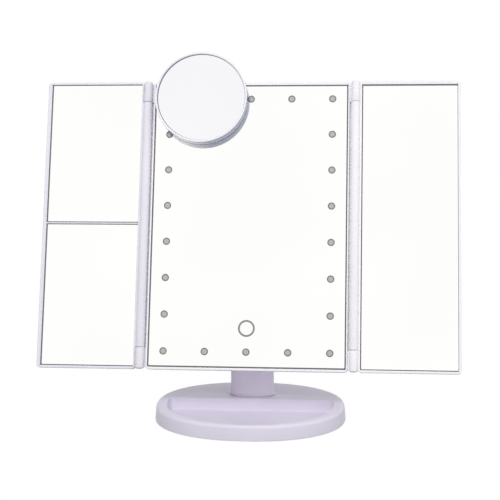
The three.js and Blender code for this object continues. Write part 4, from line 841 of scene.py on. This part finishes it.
def make_rear():
    """Rear cover with its housing and four corner screws, the battery door and the switch's knob."""
    half_w, half_h = GLASS_W / 2 + FIT + RIM_NARROW, GLASS_H / 2 + FIT + RIM
    section = [
        (0.1, COVER_FRONT), (0, COVER_FRONT + 0.1), (0, COVER_BACK - 0.8), (0.12, COVER_BACK - 0.35),
        (0.35, COVER_BACK - 0.12), (0.8, COVER_BACK),
    ]
    sheet = grid(inset_rectangles(half_w, half_h, FRAME_CORNER, section), caps=(0, -1))
    piece("rear_cover_sheet", [sheet], "head", "white_painted_light", place=on_head)
    cuts = [block(*limits) for limits in (DOOR_RECESS, BATTERY_BAY, SWITCH_SLOT)]
    cuts.append(block(*INLET_OPENING, edge=0.5))
    piece("rear_housing", [housing()], "head", "white_painted_light", ["main_rear_cover"], on_head, cuts)
    door = [block(*DOOR, edge=0.35)]
    door += [block(GRIP_X, GRIP_Y, (z, z + GRIP_T), edge=0.25) for z in GRIP_PLACES]
    piece("battery_door_surface", door, "battery_door", "white_painted_light", ["battery_door"], on_head)
    slider = [block(*SLIDER, edge=0.4)]
    slider += [block((x, x + RIDGE_T), RIDGE_Y, RIDGE_Z, edge=0.2) for x in RIDGE_PLACES]
    piece("power_switch_knob", slider, "power_switch", "rubber", ["power_switch_slider"], on_head)
    across, up = half_w - COVER_SCREW_INSET, half_h - COVER_SCREW_INSET
    for end, z in (("top", up), ("bottom", -up)):
        for side, x in (("left", -across), ("right", across)):
            centre = (x, COVER_BACK + FIT, z)
            add_screw(f"cover_screw_{end}_{side}", centre, COVER_SCREW_L, "head", on_head)


# Wings


def make_wing(name, side, panes):
    """Leaf on its barrel; panes lists the part, low and high of each sheet of mirror."""
    x, axis_x = side * WING_X, side * HINGE_X
    reach = SEAM_Z - SEAM
    body = f"{name}_wing"
    # The left leaf takes a darker copy of the white, painted with shade, and the right a lighter one,
    # painted with light
    finish = "white_painted_light" if side > 0 else "left"
    widths = (RIM_NARROW, RIM) if side > 0 else (RIM, RIM_NARROW)
    web = sorted((axis_x, axis_x + side * BARREL_WEB))
    shells = [
        rim(WING_GLASS_W, widths, WING_BACK, WING_LEDGE, x),
        drum("z", BARREL_R, (-reach, reach), (axis_x, HINGE_Y, 0), edge=0.35),
        block(web, (-RIM_PROUD, WEB_BACK), (-reach, reach)),
    ]
    left, right, half_h = x - WING_GLASS_W / 2, x + WING_GLASS_W / 2, GLASS_H / 2
    if len(panes) == 2:
        low, high = DIVIDER_Z - DIVIDER_W / 2, DIVIDER_Z + DIVIDER_W / 2
        shells.append(block((left - FIT, right + FIT), DIVIDER_Y, (low, high)))
        shells.append(lap((left - FIT, left + LEFT_LAP), (-half_h, half_h)))
    else:
        shells.append(lap((left, right), (half_h - RIGHT_LAP, half_h + FIT)))
    piece(f"{body}_frame_surface", shells, body, finish, [f"{body}_frame"], on_head)
    edge = [(0.1, WING_BACK - 1.5), (0, WING_BACK - 1.4), (0, WING_BACK - 0.3), (0.3, WING_BACK)]
    back = slab((left, right), (-half_h, half_h), edge)
    piece(f"{body}_back_surface", [back], body, "white_painted_light", [f"{body}_back_panel"], on_head)
    for part, low, high in panes:
        sheet_of_mirror(part, part, body, (left, right), (low, high))


# Round mirror


def about_spot(section, x=SPOT_X, sides=SPOT_SIDES, along=False, caps=()):
    """Section of (radius, behind) points turned about an axis at the round mirror's height."""
    return turned(section, "y", (x, 0, SPOT_Z), sides, along=along, caps=caps)


def make_spot_mirror():
    """Round mirror, turned about its middle.

    Its case has a bevelled lip over the glass, a wall that narrows a little towards the back, and a
    floor with two pockets for the suction cups.
    """
    seat_r, rim_r = SPOT_GLASS_R + FIT, SPOT_GLASS_R + FIT + SPOT_WALL
    seat, front = SPOT_FRONT + GLASS_T + FIT, SPOT_FRONT + 0.15
    lip = SPOT_FRONT - SPOT_LIP
    corners = [
        (0, CUP_FRONT), (SPOT_FLOOR_R, CUP_FRONT), (SPOT_FLOOR_R, seat), (seat_r, seat),
        (seat_r, front), (SPOT_GLASS_R - 0.9, front), (SPOT_GLASS_R - 0.2, lip), (rim_r, lip),
        (rim_r - SPOT_TAPER, SPOT_BACK), (0, SPOT_BACK),
    ]
    case = about_spot(soften(corners, [0, 0.2, 0.1, 0.1, 0.05, 0.1, 0.2, 0.5, 0.4, 0]))
    cups = {"left": SPOT_X - CUP_X, "right": SPOT_X + CUP_X}
    pocket = [(CUP_R + FIT, SPOT_BACK - CUP_POCKET), (CUP_R + FIT, 1)]
    pockets = [about_spot(pocket, x, sides=64, caps=(0, -1)) for x in cups.values()]
    # The case's finish paints blue-grey shade on the lower right of its wall
    piece("spot_case_surface", [case], "spot_mirror", "case", ["spot_mirror_case"], on_head, pockets)
    # A dark ring at the case's back stands in for its contact shadow on the glass: painted shadow
    (inner, outer), (near, far) = SHADOW_RING_R, SHADOW_RING_Y
    shadow_ring = about_spot([(inner, near), (outer, near), (outer, far), (inner, far)], along=True)
    piece("spot_case_shadow_ring", [shadow_ring], "spot_mirror", "shadow_ring", place=on_head)
    # The glass is dark grey; the silver on it is smaller and sits off centre towards the lower right,
    # so a crescent of painted shade shows at the upper left under the lip
    near, far = SPOT_FRONT + 0.2, SPOT_FRONT + 2
    glass = about_spot([(0, near), (SPOT_GLASS_R, near), (SPOT_GLASS_R, far), (0, far)])
    piece("spot_glass_edge", [glass], "spot_mirror", "edge_and_painted_shade", ["spot_mirror_glass"], on_head)
    silver_r, near, far = SPOT_GLASS_R - SPOT_BARE, SPOT_FRONT + 0.16, SPOT_FRONT + 0.6
    face = [(0, near), (silver_r, near), (silver_r, far), (0, far)]
    silver = turned(face, "y", (SPOT_X + 0.3, 0, SPOT_Z - 0.3), SPOT_SIDES)
    piece("spot_silver", [silver], "spot_mirror", "magnifier", place=on_head)
    cup = [
        (0, CUP_FRONT), (3.4, CUP_FRONT), (3.4, -2.75), (6, -2.6), (8.2, -1.9), (CUP_R, -0.8),
        (CUP_R, -0.3), (0, -0.6),
    ]
    for side, x in cups.items():
        shell = about_spot(cup, x, sides=48)
        node = f"spot_suction_cup_{side}"
        piece(f"suction_cup_{side}", [shell], "spot_mirror", "clear", [node], on_head)


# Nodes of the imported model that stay, with a finish of their own

KEPT = {
    "inner": ["main_backing_plate", "stem_foot_plug"],
    "iron": ["base_ballast_plate"],
    "foil": ["touch_sensor_pad"],
    "board": [
        "led_board_left", "led_board_right", "led_board_top", "led_board_bottom", "control_board",
    ],
    "can": [f"battery_cell_{i}" for i in range(1, 5)],
    "steel": [
        "battery_contacts_top", "battery_contacts_bottom", "usb_inlet", "base_screw_left",
        "base_screw_right", "left_hinge_pin_top", "left_hinge_pin_bottom", "right_hinge_pin_top",
        "right_hinge_pin_bottom",
    ],
}


def finish_kept_nodes():
    """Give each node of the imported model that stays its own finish."""
    for finish, names in KEPT.items():
        for name in names:
            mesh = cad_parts[name].data
            mesh.materials.clear()
            mesh.materials.append(FINISHES[finish][0])


# Stage


def seen_rays(tree, share):
    """share where a ray comes from the camera, a reflection or through glass, and 0 elsewhere."""
    path = tree.nodes.new("ShaderNodeLightPath")
    total = path.outputs["Is Camera Ray"]
    for name in ("Is Glossy Ray", "Is Transmission Ray"):
        add = tree.nodes.new("ShaderNodeMath")
        add.operation = "MAXIMUM"
        tree.links.new(total, add.inputs[0])
        tree.links.new(path.outputs[name], add.inputs[1])
        total = add.outputs[0]
    scale = tree.nodes.new("ShaderNodeMath")
    scale.operation = "MULTIPLY"
    scale.inputs[1].default_value = share
    tree.links.new(total, scale.inputs[0])
    return scale.outputs[0]


def mix_seen(tree, share, unseen, seen, output):
    """Mix two shaders by seen_rays and link the mix to the tree's output."""
    mix = tree.nodes.new("ShaderNodeMixShader")
    tree.links.new(seen_rays(tree, share), mix.inputs["Fac"])
    tree.links.new(unseen, mix.inputs[1])
    tree.links.new(seen, mix.inputs[2])
    tree.links.new(mix.outputs["Shader"], tree.nodes[output].inputs["Surface"])


def make_floor():
    """Pale floor that fades into the white surroundings and keeps a soft shadow."""
    shell = oval_slab(FLOOR_R, FLOOR_R, FLOOR_BOTTOM, FLOOR_TOP, edge=0.5, sides=64)
    floor = mesh_object("floor", [shell], in_place)
    material = bpy.data.materials.new("pale_floor")
    material.use_nodes = True
    tree = material.node_tree
    principled = tree.nodes["Principled BSDF"]
    principled.inputs["Base Color"].default_value = (FLOOR_SHADE, FLOOR_SHADE, FLOOR_SHADE, 1)
    principled.inputs["Roughness"].default_value = 0.9
    glow = tree.nodes.new("ShaderNodeEmission")
    glow.inputs["Strength"].default_value = FLOOR_GLOW
    seen, unseen = glow.outputs["Emission"], principled.outputs["BSDF"]
    mix_seen(tree, FLOOR_GLOW_SHARE, unseen, seen, "Material Output")
    floor.data.materials.append(material)


def make_surroundings():
    """White where it is seen or reflected, and elsewhere soft light that grows from DIMMEST to
    BRIGHTEST with the dot product of its direction and BRIGHT_SIDE."""
    world = bpy.data.worlds.new("surroundings")
    bpy.context.scene.world = world
    world.use_nodes = True
    tree = world.node_tree
    soft, white = tree.nodes["Background"], tree.nodes.new("ShaderNodeBackground")
    for background in (soft, white):
        background.inputs["Color"].default_value = (1, 1, 1, 1)
    towards = tree.nodes.new("ShaderNodeVectorMath")
    towards.operation = "DOT_PRODUCT"
    towards.inputs[1].default_value = BRIGHT_SIDE
    direction = tree.nodes.new("ShaderNodeTexCoord").outputs["Generated"]
    tree.links.new(direction, towards.inputs[0])
    spread = tree.nodes.new("ShaderNodeMapRange")
    limits = {"From Min": -1, "From Max": 1, "To Min": DIMMEST, "To Max": BRIGHTEST}
    for socket, value in limits.items():
        spread.inputs[socket].default_value = value
    tree.links.new(towards.outputs["Value"], spread.inputs["Value"])
    tree.links.new(spread.outputs["Result"], soft.inputs["Strength"])
    mix_seen(tree, 1.0, soft.outputs["Background"], white.outputs["Background"], "World Output")


def stand(obj, spot, forward, roll=0.0):
    """Put a lamp or camera at a spot in millimetres, looking along forward.

    Its right side is forward x vertical and its top is right x forward, both rolled about forward.
    """
    forward = np.asarray(forward, float) / np.linalg.norm(forward)
    right = np.cross(forward, [0, 0, 1])
    right /= np.linalg.norm(right)
    up = np.cross(right, forward)
    cos, sin = math.cos(roll), math.sin(roll)
    turn = np.stack([cos * right + sin * up, cos * up - sin * right, -forward], -1)
    obj.matrix_world = Matrix([[*turn[i], spot[i] * MM] for i in range(3)] + [[0, 0, 0, 1]])
    bpy.context.scene.collection.objects.link(obj)


def make_camera():
    """Camera whose direction is (-sin yaw cos pitch, cos yaw cos pitch, sin pitch)."""
    yaw, pitch, roll = (math.radians(turn) for turn in CAMERA_TURNS)
    forward = [-math.sin(yaw) * math.cos(pitch), math.cos(yaw) * math.cos(pitch), math.sin(pitch)]
    camera = bpy.data.objects.new("camera", bpy.data.cameras.new("camera"))
    camera.data.lens, camera.data.sensor_width = CAMERA_LENS, CAMERA_SENSOR
    stand(camera, CAMERA_SPOT, forward, roll)
    bpy.context.scene.camera = camera


def make_lamp(name, spot, aim, size, watts):
    """Round area lamp that leaves no patch in the mirrors."""
    data = bpy.data.lights.new(name, "AREA")
    data.shape, data.size, data.energy = "DISK", size * MM, watts
    lamp = bpy.data.objects.new(name, data)
    lamp.visible_glossy = False
    stand(lamp, spot, np.asarray(aim, float) - spot)


make_base()
make_stem()
make_tilt_hinge()
make_main_front()
make_rear()
half_height, pane_gap = GLASS_H / 2, DIVIDER_W / 2 + FIT
make_wing("left", -1, [
    ("left_upper_mirror", DIVIDER_Z + pane_gap, half_height),
    ("left_lower_mirror", -half_height, DIVIDER_Z - pane_gap),
])
make_wing("right", 1, [("right_wing_mirror", -half_height, half_height)])
make_spot_mirror()
finish_kept_nodes()

make_floor()
make_surroundings()
make_camera()
make_lamp("front", spot=(-200, -1280, 1160), aim=(0, 0, 100), size=330, watts=11.4)
make_lamp("rear", spot=(150, 1450, 110), aim=(0, 0, 150), size=200, watts=5)

bpy.context.scene.view_settings.view_transform = "Standard"
